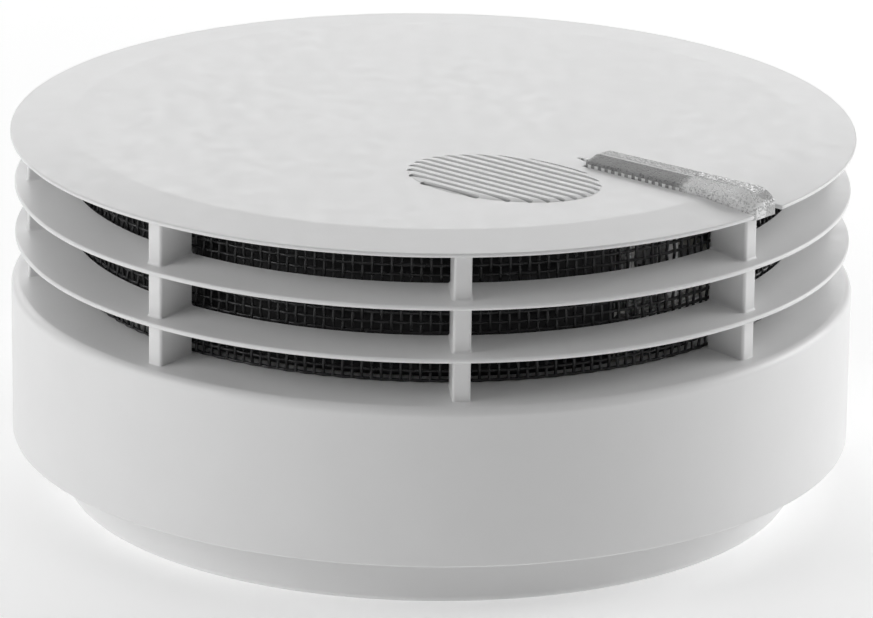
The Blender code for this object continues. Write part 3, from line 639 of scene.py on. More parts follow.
@dataclass(frozen=True)
class CircuitLaminate:
    """Solder-masked laminate with a faint weave and raised copper tracks.

    Attributes:
        name: Name of the finish.
        mask: Colour of the bare laminate under its mask.
        track: Colour of the mask over copper.
        pattern: (cells per metre, stray of their middles) of the tracks.
        edge: Where a track starts and where it is full, in shares of a cell.
        track_t: Thickness of a track.
    """

    name: str
    mask: Colour = (0.52, 0.51, 0.47)
    track: Colour = (0.64, 0.63, 0.59)
    pattern: Pair = (420.0, 0.35)
    edge: Pair = (0.42, 0.46)
    track_t: float = 0.03 * MM

    def material(self) -> Material:
        """Builds the material."""
        sheet = NodeSheet(self.name)
        tracks = sheet.ramp(sheet.cells(*self.pattern, "MANHATTAN"), 0.0, 1.0, *self.edge)
        weave = sheet.noise(0.5 * MM, 1.0, (1.0, 3.0, 1.0))
        normal = sheet.bump(tracks, self.track_t, sheet.bump(weave, 0.006 * MM))
        sheet.surface(Base_Color=sheet.blend(tracks, self.mask, self.track), Roughness=0.35, Normal=normal)
        return sheet.material


@dataclass(frozen=True)
class WoundCopper:
    """Enamelled wire wound in fine turns round an upright core, with painted shade in the crevices between
    the turns.

    Attributes:
        name: Name of the finish.
        colour: Colour of the enamelled wire.
        pitch: Height of one turn.
    """

    name: str
    colour: Colour = (0.48, 0.19, 0.07)
    pitch: float = 0.5 * MM

    def material(self) -> Material:
        """Builds the material."""
        sheet = NodeSheet(self.name)
        swing = sheet.maths("SINE", sheet.maths("MULTIPLY", sheet.axis("Z"), math.pi / self.pitch))
        turns = sheet.maths("ABSOLUTE", swing)
        # Painted shade: the tint darkens where the turns meet, in the crevices between them.
        tint = sheet.blend(turns, shaded(self.colour, -0.7), self.colour)
        gloss = sheet.ramp(sheet.noise(1 * MM), 0.25, 0.4)
        normal = sheet.bump(turns, 0.3 * self.pitch)
        sheet.surface(Base_Color=tint, Metallic=0.6, Roughness=gloss, Normal=normal)
        return sheet.material


@dataclass(frozen=True)
class OpenFoam:
    """Soft black foam with open cells, their middles painted darker as painted shade in the pores.

    Attributes:
        name: Name of the finish.
        colour: Colour of the cell walls.
        scale: Cells per metre.
    """

    name: str
    colour: Colour = (0.03, 0.03, 0.032)
    scale: float = 2200.0

    def material(self) -> Material:
        """Builds the material."""
        sheet = NodeSheet(self.name)
        cells = sheet.cells(self.scale)
        # Painted shade: each cell's middle is darker, as shade in the open pores.
        tint = sheet.blend(cells, shaded(self.colour, -0.6), self.colour)
        sheet.surface(Base_Color=tint, Roughness=0.95, Normal=sheet.bump(cells, 0.2 * MM))
        return sheet.material


@dataclass(frozen=True)
class CastResin:
    """Clear or tinted epoxy, as a light-emitting diode is cast in.

    Attributes:
        name: Name of the finish.
        colour: Its tint.
        clear: Share of light that passes.
        ior: Its index of refraction.
    """

    name: str
    colour: Colour
    clear: float
    ior: float = 1.52

    def material(self) -> Material:
        """Builds the material."""
        sheet = NodeSheet(self.name)
        streaks = sheet.ramp(sheet.noise(1.2 * MM), 0.08, 0.2)
        tint = sheet.blend(sheet.noise(2 * MM), shaded(self.colour, -0.1), self.colour)
        sheet.surface(Base_Color=tint, Roughness=streaks, Normal=sheet.bump(sheet.noise(1.5 * MM), 0.01 * MM))
        sheet.surface(Transmission_Weight=self.clear, IOR=self.ior)
        return sheet.material


@dataclass(frozen=True)
class BatterySleeve:
    """Printed metal jacket with a copper-coloured band at the terminal end and no lettering.

    Attributes:
        name: Name of the finish.
        dark: Colour of the long part.
        band: Colour of the band.
        band_x: Where the band starts along the battery and where it is full.
    """

    name: str
    dark: Colour = (0.020, 0.021, 0.024)
    band: Colour = (0.42, 0.22, 0.10)
    band_x: Pair = (14.0 * MM, 14.1 * MM)

    def material(self) -> Material:
        """Builds the material."""
        sheet = NodeSheet(self.name)
        tint = sheet.blend(sheet.ramp(sheet.axis("X"), 0.0, 1.0, *self.band_x), self.dark, self.band)
        scuffs = sheet.ramp(sheet.noise(2 * MM, 6.0), 0.24, 0.42)
        normal = sheet.bump(sheet.noise(5 * MM, 2.0), 0.03 * MM)
        sheet.surface(Base_Color=tint, Metallic=0.7, Roughness=scuffs, Normal=normal)
        return sheet.material


@dataclass(frozen=True)
class LightGuidePlastic:
    """Clear bar whose inner length is a darker prism field and whose outer end is bright, with painted shade
    on one slope and painted highlights on its ridge and low on its sides.

    Attributes:
        name: Name of the finish.
        azimuth: Direction of the bar.
        turn: Where the inner length gives way to the outer end and where that is full.
        ragged: How far that boundary wanders.
        inner: Colour of the prism field on its near slope, made darker as painted shade.
        far: Colour of the prism field on its far slope, a lighter copy of the near slope's painted shade.
        outer: Colour of the clear end, and of the painted highlights along the ridge and in the dashes.
        prism: Size of a prism.
        facet: Where a prism's bright face starts and where it is full, in shares of a prism; the darker
            middles are painted shade on the prisms.
        slope: Half width of the change from the near slope to the far one, where the painted shade changes.
        ridge: Half width of the painted highlight along the ridge, at its full light and at none.
        highlight_dash_foot: Height up to which the painted highlight dashes are full and height where they
            end.
        highlight_dash_pitch: Distance between the painted highlight dashes.
        highlight_dash_edge: Where a painted highlight dash starts and where it is full, within half a pitch.
        gloss: Roughness of the inner length and of the outer end.
        clear: Share of light that passes at the inner length and at the outer end.
        ior: Its index of refraction.
    """

    name: str
    azimuth: float
    turn: Pair = (49.0 * MM, 50.5 * MM)
    ragged: float = 2 * MM
    inner: Colour = (0.30, 0.30, 0.30)
    far: Colour = (0.38, 0.38, 0.38)
    outer: Colour = (0.96, 0.96, 0.96)
    prism: float = 0.32 * MM
    facet: Pair = (0.12, 0.52)
    slope: float = 0.15 * MM
    ridge: Pair = (0.14 * MM, 0.32 * MM)
    highlight_dash_foot: Pair = (55.75 * MM, 55.85 * MM)
    highlight_dash_pitch: float = 1.25 * MM
    highlight_dash_edge: Pair = (0.25 * MM, 0.38 * MM)
    gloss: Pair = (0.30, 0.14)
    clear: Pair = (0.10, 0.15)
    ior: float = 1.49

    def material(self) -> Material:
        """Builds the material."""
        sheet = NodeSheet(self.name)
        out = heading(self.azimuth)
        along, across = sheet.along(out), sheet.along(left_of(out))
        wander = sheet.maths("MULTIPLY", sheet.noise(1.2 * MM), self.ragged)
        clear = sheet.ramp(sheet.maths("ADD", along, wander), 0.0, 1.0, *self.turn)
        # Painted shade: on the inner length the near slope is painted darker than the far one; on the outer
        # end the far slope is painted darker than the near one.
        near = sheet.ramp(across, 1.0, 0.0, -self.slope, self.slope)
        # The prism speckle darkens each prism's middle as painted shade on its faces, over the prisms' bumps.
        grain = sheet.ramp(sheet.cells(1 / self.prism), 0.0, 1.0, *self.facet)
        prism_field_and_painted_light = sheet.blend(grain, shaded(self.inner, -0.5), sheet.blend(near, self.far, self.inner))
        bright = sheet.blend(near, shaded(self.outer, -0.40), self.outer)
        bright = sheet.blend(grain, shaded(self.outer, -0.35), bright)
        # Painted highlights: a bright line along the ridge and bright dashes low on the sides of the inner
        # length.
        ridge = sheet.ramp(sheet.maths("ABSOLUTE", across), 0.9, 0.0, *self.ridge)
        foot = sheet.ramp(sheet.axis("Z"), 1.0, 0.0, *self.highlight_dash_foot)
        highlight_dashes = sheet.ramp(sheet.maths("PINGPONG", along, self.highlight_dash_pitch / 2), 0.1, 1.0, *self.highlight_dash_edge)
        painted_highlight = sheet.maths("MAXIMUM", ridge, sheet.maths("MULTIPLY", foot, highlight_dashes))
        prism_field_and_painted_light = sheet.blend(painted_highlight, prism_field_and_painted_light, self.outer)
        normal = sheet.bump(grain, 0.10 * MM, sheet.bump(sheet.noise(0.5 * MM), 0.05 * MM))
        sheet.surface(Base_Color=sheet.blend(clear, prism_field_and_painted_light, bright), Normal=normal, IOR=self.ior)
        sheet.surface(Roughness=sheet.ramp(clear, *self.gloss, 0.0, 1.0))
        sheet.surface(Transmission_Weight=sheet.ramp(clear, *self.clear, 0.0, 1.0))
        return sheet.material


@dataclass(frozen=True)
class Finishes:
    """Every finish of the detector, by where it is used."""

    casing: MouldedPlastic = MouldedPlastic("casing_white", (0.80, 0.80, 0.80))
    screen: MouldedPlastic = MouldedPlastic("screen_black", (0.020, 0.020, 0.021), 0.28, uneven=0.15)
    bar: LightGuidePlastic = LightGuidePlastic("bar_clear", HEAD.bar_azimuth)
    black: MouldedPlastic = MouldedPlastic("chamber_black", (0.012, 0.012, 0.013), 0.6, uneven=0.2)
    part: MouldedPlastic = MouldedPlastic("component_black", (0.025, 0.025, 0.027), 0.5, uneven=0.2)
    nylon: MouldedPlastic = MouldedPlastic("plunger_nylon", (0.74, 0.74, 0.70), 0.5)
    sleeve: BatterySleeve = BatterySleeve("battery_jacket")
    brass: WornMetal = WornMetal("contact_brass", (0.72, 0.55, 0.26), 0.28)
    steel: WornMetal = WornMetal("zinc_steel", (0.62, 0.63, 0.65), 0.3, (1.0, 1.0, 6.0))
    board: CircuitLaminate = CircuitLaminate("board_laminate")
    winding: WoundCopper = WoundCopper("copper_winding")
    foam: OpenFoam = OpenFoam("gasket_foam")
    emitter: CastResin = CastResin("emitter_resin", (0.75, 0.80, 0.92), 0.8)
    status: CastResin = CastResin("status_resin", (0.72, 0.70, 0.70), 0.6)


def dress(obj: Object, material: Material) -> None:
    """Gives an object one material.

    Args:
        obj: The object.
        material: Its material.
    """
    if not obj.material_slots:
        obj.data.materials.append(material)
    for slot in obj.material_slots:
        slot.link = "OBJECT"
        slot.material = material


def settle(obj: Object, body: Body, slot: Slot, material: Material, *nodes: str) -> None:
    """Dresses a piece, fixes it to its body and hides the CAD nodes that it replaces.

    Args:
        obj: The piece.
        body: Body that it rides on.
        slot: Slot of the record named for the piece; not used.
        material: Its material.
        nodes: CAD nodes that it replaces.
    """
    obj.data.materials.clear()
    obj.data.materials.append(material)
    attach(obj, body.value)
    if nodes:
        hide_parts(*nodes)
    log.info("%s: %d faces, rides on %s", obj.name, len(obj.data.polygons), body.value)


# ------------------------------------------------------------------ the head's casing


@dataclass
class RibSet:
    """Eight short radial ribs between two sloped faces, with soft fronts and a fillet at each end.

    Attributes:
        foot: Height of the face below at a radius.
        top: Height of the face above at a radius.
        count: Number of ribs.
        phase: Azimuth of the first rib.
        thickness: Thickness of a rib.
        inner: Radius where a rib starts.
        front: Radius of a rib's front.
        corner: Rounding of the front's upright edges.
        fillet: Radius of the fillets.
        sunk: How far each end runs into the face that it meets.
        lowered: (number of the rib, height of its top) of a rib that ends below the bar, if there is one.
    """

    foot: Height
    top: Height
    count: int = 8
    phase: float = 4.2
    thickness: float = 2.6 * MM
    inner: float = HEAD.louvre_inner
    front: float = 60.0 * MM
    corner: float = 0.45 * MM
    fillet: float = 0.45 * MM
    sunk: float = 0.06 * MM
    lowered: tuple[int, float] | None = None

    def outline(self, grown: float) -> list[Pair]:
        """Gives a rib's section in plan, grown by a width."""
        half = self.thickness / 2 + grown
        out = self.front + grown
        corner = self.corner + grown
        points = [(self.inner, -half)]
        points += arc((out - corner, corner - half), corner, -90, 0)
        points += arc((out - corner, half - corner), corner, 0, 90)
        return points + [(self.inner, half)]

    def add(self, bm: Mesh) -> None:
        """Adds the ribs to a mesh."""
        fillets = arc((self.fillet, self.fillet), self.fillet, 180, 270)
        # Each level: the face that it follows, its height from that face, and how far the rib is grown.
        levels = [(self.foot, rise - self.sunk, grown) for rise, grown in fillets]
        levels += [(self.top, self.sunk - rise, grown) for rise, grown in reversed(fillets)]
        for i in range(self.count):
            out = heading(self.phase + i * 360 / self.count)
            across = left_of(out)
            own = levels
            if self.lowered and self.lowered[0] == i:
                own = levels[: len(fillets)] + [(lambda r: self.lowered[1], 0.0, 0.0)]
            loops = []
            for face, rise, grown in own:
                outline = self.outline(grown)
                loops.append([out * r + across * t + raised(face(r) + rise) for r, t in outline])
            add_loft(bm, loops)


@dataclass
class OuterShell:
    """Round wall with a soft top edge, a sloped ledge inside it and the lowest ribs.

    Attributes:
        skirt_z: Lower edge of the wall.
        wall: Thickness of the wall.
        edge: Radius of the soft top edge.
        ledge_bore: Radius of the opening in the ledge.
        ledge_t: Thickness of the ledge.
        seat: (height, width) of the step that the back plate seats on.
    """

    skirt_z: float = 8.3 * MM
    wall: float = 2.0 * MM
    edge: float = 1.4 * MM
    ledge_bore: float = 50.55 * MM
    ledge_t: float = 2.0 * MM
    seat: Pair = (13.7 * MM, 1.5 * MM)

    def profile(self) -> list[Pair]:
        """Gives the section of the wall and the ledge."""
        bore = HEAD.radius - self.wall
        seat_z, seat_w = self.seat
        brink = HEAD.ledge(self.ledge_bore)
        corners = [
            (bore, self.skirt_z, 0.25 * MM),
            (HEAD.radius, self.skirt_z, 0.35 * MM),
            (HEAD.radius, HEAD.ledge_edge[1] + 0.1 * MM, self.edge),
            (self.ledge_bore, brink, 0.3 * MM),
            (self.ledge_bore, brink - self.ledge_t, 0.3 * MM),
            (bore, HEAD.ledge(bore) - self.ledge_t, 1.0 * MM),
            (bore, seat_z + 2 * seat_w, 0.0),
            (bore - seat_w, seat_z + seat_w, 0.2 * MM),
            (bore - seat_w, seat_z, 0.15 * MM),
            (bore, seat_z, 0.0),
        ]
        return rounded(corners, 10)

    def build(self, material: Material) -> None:
        """Makes and dresses the shell.

        Args:
            material: Finish of the casing.
        """
        bm = bmesh.new()
        add_turned(bm, self.profile())
        RibSet(HEAD.ledge, lambda r: HEAD.louvre_under(0, r)).add(bm)
        shell = mesh_object("shell", bm)
        even_normals(shell)
        settle(shell, Body.HEAD, Slot.WHITE, material, "outer_shell")


@dataclass
class Louvre:
    """Thin sloped ring with a soft rim, and the ribs that stand on it.

    Attributes:
        name: Name of the piece.
        node: CAD node that it stands for.
        level: 0 for the lower louvre, 1 for the upper.
        top: Height of the face above at a radius.
        rim: Rounding of the outer edge.
        lowered: (number of the rib, height of its top) of the rib under the bar.
    """

    name: str
    node: str
    level: int
    top: Height
    rim: float = 0.33 * MM
    lowered: tuple[int, float] | None = None

    def build(self, material: Material) -> None:
        """Makes and dresses the louvre.

        Args:
            material: Finish of the casing.
        """
        inner, rim_z = HEAD.louvre_inner, HEAD.louvre_z[self.level]
        corners = [
            (inner, HEAD.louvre_under(self.level, inner), 0.1 * MM),
            (HEAD.louvre_radius, rim_z, self.rim),
            (HEAD.louvre_radius, rim_z + HEAD.louvre_t, self.rim),
            (inner, HEAD.louvre_top(self.level, inner), 0.1 * MM),
        ]
        bm = bmesh.new()
        add_turned(bm, rounded(corners, 8))
        RibSet(lambda r: HEAD.louvre_top(self.level, r), self.top, lowered=self.lowered).add(bm)
        ring = mesh_object(self.name, bm)
        even_normals(ring)
        settle(ring, Body.HEAD, Slot.WHITE, material, self.node)


@dataclass
class Grille:
    """Low oval dome with parallel slots over the sounder.

    Attributes:
        radius: Distance of its middle from the axis.
        azimuth: Azimuth of its middle.
        long_half: Half of its long axis.
        short_half: Half of its short axis.
        lean: Turn of the long axis from +X in degrees.
        pitch: Distance between slots.
        slot_w: Width of a slot.
        margin: How far the slots stop short of the oval.
        rise: Height of the dome above the cover.
        sunk: How far its rim goes into the cover.
        shoulder: Width over which the dome comes down to the cover.
        steps: Number of points round the oval.
        rings: Number of rings over the shoulder.
    """

    radius: float = 30.55 * MM
    azimuth: float = 19.5
    long_half: float = 15.0 * MM
    short_half: float = 10.6 * MM
    lean: float = -28.8
    pitch: float = 1.78 * MM
    slot_w: float = 0.9 * MM
    margin: float = 0.25 * MM
    rise: float = 0.25 * MM
    sunk: float = 0.3 * MM
    shoulder: float = 1.6 * MM
    steps: int = 160
    rings: int = 7

    def axes(self) -> tuple[Vector, Vector, Vector]:
        """Gives the middle and the unit vectors of the long and the short axis."""
        lean = math.radians(self.lean)
        long_axis = Vector((math.cos(lean), math.sin(lean), 0.0))
        return heading(self.azimuth) * self.radius, long_axis, left_of(long_axis)

    def slots(self) -> list[list[Pair]]:
        """Gives the outline of each slot, which crosses the oval in the bar's direction."""
        middle, long_axis, short_axis = self.axes()
        along = heading(HEAD.bar_azimuth)
        across = left_of(along)
        long_half, short_half = self.long_half - self.margin, self.short_half - self.margin
        # The oval is a u^2 + 2 b u v + c v^2 = 1, with u along the slots and v across them.
        a = (along.dot(long_axis) / long_half) ** 2 + (along.dot(short_axis) / short_half) ** 2
        c = (across.dot(long_axis) / long_half) ** 2 + (across.dot(short_axis) / short_half) ** 2
        b = along.dot(long_axis) * across.dot(long_axis) / long_half**2
        b += along.dot(short_axis) * across.dot(short_axis) / short_half**2
        reach = math.sqrt(a / (a * c - b * b))
        count = int(2 * (reach - self.slot_w / 2) / self.pitch) + 1
        outlines = []
        for i in range(count):
            offset = (i - (count - 1) / 2) * self.pitch
            root = math.sqrt(max(0.0, (b * offset) ** 2 - a * (c * offset**2 - 1)))
            ends = ((-b * offset - root) / a, (-b * offset + root) / a)
            if ends[1] - ends[0] > 2 * self.slot_w:
                outlines.append(stadium(middle + across * offset, along, ends, self.slot_w))
        return outlines

    def cutter(self) -> Mesh:
        """Makes the solid that cuts the slots."""
        bm = bmesh.new()
        for outline in self.slots():
            add_prism(bm, outline, HEAD.cover_under_z - 2 * MM, HEAD.cover_z + 2 * MM)
        return bm

    def build(self, material: Material) -> None:
        """Makes and dresses the dome.

        Args:
            material: Finish of the casing.
        """
        middle, long_axis, short_axis = self.axes()
        bm = bmesh.new()
        loops = []
        for k in range(self.rings + 1):
            part = k / self.rings
            inset = self.shoulder * part
            lift = self.rise * math.sin(part * math.pi / 2) ** 1.3 if k else -self.sunk
            loop = []
            for i in range(self.steps):
                turn = 2 * math.pi * i / self.steps
                x = (self.long_half - inset) * math.cos(turn)
                y = (self.short_half - inset) * math.sin(turn)
                loop.append(middle + long_axis * x + short_axis * y + raised(HEAD.cover_z + lift))
            loops.append(loop)
        add_loft(bm, loops)
        dome = mesh_object("grille_dome", bm)
        cut(dome, [self.cutter()])
        soften(dome, 0.12 * MM)
        even_normals(dome)
        settle(dome, Body.HEAD, Slot.WHITE, material)


@dataclass
class TopCover:
    """Flat disc with a sloped band and a thin soft rim, cut by the grille and the bar's groove.

    Attributes:
        crease: Radius where the flat top meets the band.
        rim_t: Thickness of the rim.
        rim: Rounding of the rim's edges.
        lip_outer: Outside of the ring that centres the screen.
        lip_t: Thickness of that ring.
        lip_h: Height of that ring.
        groove_z: Floor of the bar's groove.
        groove_gap: Gap between the groove and the bar.
        post_r: Radius of the posts.
        post_at: Distance of the posts from the axis.
        post_turns: Azimuths of the posts from the grille.
        post_foot: Foot of the posts.
    """

    crease: float = 53.5 * MM
    rim_t: float = 0.6 * MM
    rim: float = 0.27 * MM
    lip_outer: float = 52.45 * MM
    lip_t: float = 1.2 * MM
    lip_h: float = 1.8 * MM
    groove_z: float = 53.57 * MM
    groove_gap: float = 0.3 * MM
    post_r: float = 3.0 * MM
    post_at: float = 44.5 * MM
    post_turns: tuple[float, ...] = (-60.0, 75.0, 230.0)
    post_foot: float = 29.1 * MM

    def profile(self) -> list[Pair]:
        """Gives the section from the flat top, round the rim, to the underside."""
        inner = self.lip_outer - self.lip_t
        under = HEAD.cover_under_z
        corners = [
            (inner, HEAD.cover_z, 0.0),
            (self.crease, HEAD.cover_z, 9.0 * MM),
            (HEAD.radius, HEAD.rim_z + self.rim_t, self.rim),
            (HEAD.radius, HEAD.rim_z, self.rim),
            (HEAD.screen, HEAD.rim_z + 0.25 * MM, 0.15 * MM),
            (HEAD.screen, under, 0.1 * MM),
            (self.lip_outer, under, 0.1 * MM),
            (self.lip_outer, under - self.lip_h, 0.2 * MM),
            (inner, under - self.lip_h, 0.2 * MM),
            (inner, under, 0.0),
        ]
        return rounded(corners, 8)

    def groove(self, bar: "TestBar") -> Mesh:
        """Makes the solid that cuts the bar's groove."""
        bm = bmesh.new()
        add_prism(bm, bar.plan(self.groove_gap, 3 * MM), self.groove_z, HEAD.cover_z + 3 * MM)
        return bm

    def build(self, grille: Grille, bar: "TestBar", material: Material) -> None:
        """Makes and dresses the cover with its posts.

        Args:
            grille: Grille whose slots it has.
            bar: Test bar whose groove it has.
            material: Finish of the casing.
        """
        bm = bmesh.new()
        add_turned(bm, self.profile(), capped=True)
        cover = mesh_object("cover", bm)
        cut(cover, [grille.cutter(), self.groove(bar)])
        soften(cover, 0.1 * MM)
        even_normals(cover)
        settle(cover, Body.HEAD, Slot.WHITE, material, "top_cover")
        bm = bmesh.new()
        for turn in self.post_turns:
            ring = circle(heading(grille.azimuth + turn) * self.post_at, self.post_r, 48)
            add_prism(bm, ring, self.post_foot, HEAD.cover_under_z + 1 * MM)
        posts = mesh_object("cover_posts", bm)
        soften(posts, 0.2 * MM)
        settle(posts, Body.HEAD, Slot.WHITE, material)


# ------------------------------------------------------------------ the insect screen


@dataclass
class InsectScreen:
    """Woven ring of fine upright and hoop wires behind the louvres.

    Attributes:
        radius: Middle of the weave.
        uprights: Number of upright wires.
        pitch: Distance between hoops.
        wire: Radius of a wire.
        sway: How far a wire swings in and out.
        sides: Number of sides of a wire.
        gap: How far the weave stops short of the ledge and of the cover.
    """

    radius: float = 53.02 * MM
    uprights: int = 240
    pitch: float = 1.39 * MM
    wire: float = 0.23 * MM
    sway: float = 0.12 * MM
    sides: int = 6
    gap: float = 0.3 * MM

    def tube(
        self, points: list[Vector], outs: list[Vector], closed: bool
    ) -> tuple[list[Vector], list[list[int]]]:
        """Gives the points and faces of one wire.

        Args:
            points: Points along the wire.
            outs: Outward direction at each point.
            closed: Joins the last point to the first.

        Returns:
            The points, and the faces by index.
        """
        count, sides = len(points), self.sides
        verts = []
        for i, point in enumerate(points):
            before = points[(i - 1) % count] if closed or i else point
            after = points[(i + 1) % count] if closed or i < count - 1 else point
            side = (after - before).normalized().cross(outs[i])
            for k in range(sides):
                turn = 2 * math.pi * k / sides
                verts.append(point + (outs[i] * math.cos(turn) + side * math.sin(turn)) * self.wire)
        faces = []
        for i in range(count if closed else count - 1):
            for k in range(sides):
                low, high = i * sides, (i + 1) % count * sides
                following = (k + 1) % sides
                faces.append([low + k, high + k, high + following, low + following])
        return verts, faces

    def build(self, material: Material) -> None:
        """Makes and dresses the screen.

        Args:
            material: Finish of the screen.
        """
        low = HEAD.ledge(self.radius) + self.gap
        high = HEAD.cover_under_z - self.gap
        hoops = int((high - low) / self.pitch)
        step = (high - low) / hoops
        verts: list[Vector] = []
        faces: list[list[int]] = []

        def add(points: list[Vector], outs: list[Vector], closed: bool) -> None:
            """Adds one wire to the whole."""
            new_verts, new_faces = self.tube(points, outs, closed)
            faces.extend([index + len(verts) for index in face] for face in new_faces)
            verts.extend(new_verts)

        for i in range(self.uprights):
            out = heading(360 * i / self.uprights)
            points = []
            for k in range(2 * hoops + 1):
                swing = math.cos(math.pi * (k / 2 + i)) * self.sway
                points.append(out * (self.radius + swing) + raised(low + k * step / 2))
            add(points, [out] * len(points), False)
        for j in range(hoops + 1):
            points, outs = [], []
            for k in range(2 * self.uprights):
                out = heading(180 * k / self.uprights)
                swing = -math.cos(math.pi * (k / 2 + j)) * self.sway
                points.append(out * (self.radius + swing) + raised(low + j * step))
                outs.append(out)
            add(points, outs, True)
        mesh = bpy.data.meshes.new("woven_screen")
        mesh.from_pydata([tuple(vert) for vert in verts], [], faces)
        mesh.shade_smooth()
        settle(linked("woven_screen", mesh), Body.HEAD, Slot.SCREEN, material, "insect_screen")


@dataclass
class PaintedShadeStrip:
    """Thin black strip just inside the screen, a painted shade that darkens the inside seen through the
    screen and keeps light off the optical chamber.

    Attributes:
        inner: Its inner radius.
        outer: Its outer radius.
        start: Azimuth where it starts.
        end: Azimuth where it ends.
        edge: Rounding of its edges.
        gap: How far it stops short of the ledge and of the cover.
    """

    inner: float = 50.70 * MM
    outer: float = 51.05 * MM
    start: float = -172.0
    end: float = 20.0
    edge: float = 0.1 * MM
    gap: float = 0.2 * MM

    def build(self, material: Material) -> None:
        """Makes and dresses the strip.

        Args:
            material: Black finish.
        """
        low, high = HEAD.ledge(self.outer) + self.gap, HEAD.cover_under_z - self.gap
        section = rectangle((self.inner, low), (self.outer, high), [self.edge] * 4, 2)
        bm = bmesh.new()
        add_sector(bm, section, self.start, self.end)
        strip = mesh_object("painted_shade_strip", bm)
        settle(strip, Body.HEAD, Slot.BLACK, material)


# ------------------------------------------------------------------ the test bar


@dataclass
class TestBar:
    """Clear bar with a low pointed tongue, a ridged roof, knurled sides and a soft outer end.

    Attributes:
        inner: Radius of the tongue's tip.
        tongue: (length, width, height above the bar's foot) of the tongue.
        outer: Radius of the outer end.
        width: Width of the bar.
        bottom: Height of its foot.
        top: Height of its ridge.
        roof: Fall of the roof from the ridge to its near edge and to its far edge.
        bevel: Rounding of its long edges.
        end: Length of the rounding of its outer end.
        end_fall: (fall of the ridge, narrowing of each side) over that length.
        start_fall: (length, fall of the ridge, narrowing of each side) of the soft edge at the tongue.
        crest: (half width, half height) of the soft crest on the ridge.
        knurl: (pitch, depth) of the prisms along its sides.
        swell: (growth of its half width, growth of its height) from its inner to its outer end.
        skirt: (radius, foot) of the skirt that hangs in front of the rib under the bar.
        stem: (distance from the axis, radius, foot) of the stem over the switch.
        collar: (radius, foot, thickness) of the collar on the stem.
        leg: (distance from the axis, radius, foot) of the leg over the status light.
    """

    inner: float = 28.0 * MM
    tongue: Triple = (3.2 * MM, 1.8 * MM, 1.25 * MM)
    outer: float = 62.0 * MM
    width: float = 5.4 * MM
    bottom: float = 54.47 * MM
    top: float = 56.82 * MM
    roof: Pair = (0.60 * MM, 0.10 * MM)
    bevel: float = 0.30 * MM
    end: float = 4.2 * MM
    end_fall: Pair = (2.45 * MM, 0.9 * MM)
    start_fall: Triple = (0.35 * MM, 0.12 * MM, 0.10 * MM)
    crest: Pair = (0.22 * MM, 0.03 * MM)
    knurl: Pair = (0.8 * MM, 0.09 * MM)
    swell: Pair = (0.25 * MM, 0.35 * MM)
    skirt: Pair = (60.5 * MM, 53.55 * MM)
    stem: Triple = (44.0 * MM, 1.9 * MM, 34.3 * MM)
    collar: Triple = (5.8 * MM, 36.2 * MM, 1.0 * MM)
    leg: Triple = (36.5 * MM, 1.2 * MM, 34.4 * MM)

    def plan(self, margin: float, beyond: float) -> list[Pair]:
        """Gives the outline in plan of the groove that the bar sits in.

        Args:
            margin: Width by which it is grown.
            beyond: Length by which its outer end is moved out.

        Returns:
            (x, y) points of the outline.
        """
        out = heading(HEAD.bar_azimuth)
        across = left_of(out)
        half, narrow = self.width / 2 + margin, self.tongue[1] / 2 + margin
        wide = half + self.swell[0]
        tip, end = self.inner - margin, self.outer + beyond
        shoulder = self.inner + self.tongue[0] - margin
        points = [(tip, -narrow / 3), (shoulder, -narrow), (shoulder, -half), (end, -wide)]
        points += [(r, -t) for r, t in reversed(points)]
        return [tuple((out * r + across * t).to_2d()) for r, t in points]

    def section(self, radius: float) -> list[Pair]:
        """Gives the bar's section at a distance from the axis, from its left foot over the ridge."""
        to_end = max(0.0, min(1.0, (self.outer - radius) / self.end))
        bend = 1 - math.sqrt(max(0.0, 1 - (1 - to_end) ** 2))
        length, sink, narrowing = self.start_fall
        start = max(0.0, 1 - (radius - self.inner - self.tongue[0]) / length)
        grown = (radius - self.inner) / (self.outer - self.inner)
        ridge = self.top + self.swell[1] * grown - self.end_fall[0] * bend - sink * start
        half = self.width / 2 + self.swell[0] * grown - self.end_fall[1] * bend - narrowing * start
        foot = self.skirt[1] + bend * 0.1 * MM if radius > self.skirt[0] else self.bottom
        pitch, depth = self.knurl
        notch = depth * (1 - abs(2 * (radius / pitch % 1.0) - 1)) * to_end
        sides = []
        for fall in self.roof:
            roof = fall * (1 - 0.7 * bend)
            bevel = min(self.bevel, 0.6 * (ridge - roof - self.bottom))
            slope = math.degrees(math.atan2(roof, half))
            edge = arc((half - notch - bevel, ridge - roof - bevel), bevel, 0, 90 - slope, 5)
            side = [(half, foot), (half - notch, foot + 0.2 * MM)] + edge
            sides.append(side + [(half / 2, ridge - roof / 2), (self.crest[0], ridge - self.crest[1])])
        near, far = sides
        return [(-u, z) for u, z in near] + [(0.0, ridge + self.crest[1])] + far[::-1]

    def build(self, material: Material) -> None:
        """Makes and dresses the bar with its tongue, stem, collar and leg.

        Args:
            material: Finish of the bar.
        """
        out = heading(HEAD.bar_azimuth)
        across = left_of(out)
        start = self.inner + self.tongue[0]
        step = self.knurl[0] / 4
        steps = int((self.outer - start) / step)
        # Sections lie closer together at the soft inner edge and on the last of the rounded end.
        radii = [start, start + 0.05 * MM, start + 0.15 * MM]
        radii += [start + step * i for i in range(1, steps)]
        radii += [self.outer - self.end * 0.12 * (1 - i / 6) ** 2 for i in range(7)]
        loops = []
        for r in sorted(set(radii)):
            loops.append([out * r + across * u + raised(z) for u, z in self.section(r)])
        bm = bmesh.new()
        add_loft(bm, loops)

        length, width, height = self.tongue
        loops = []
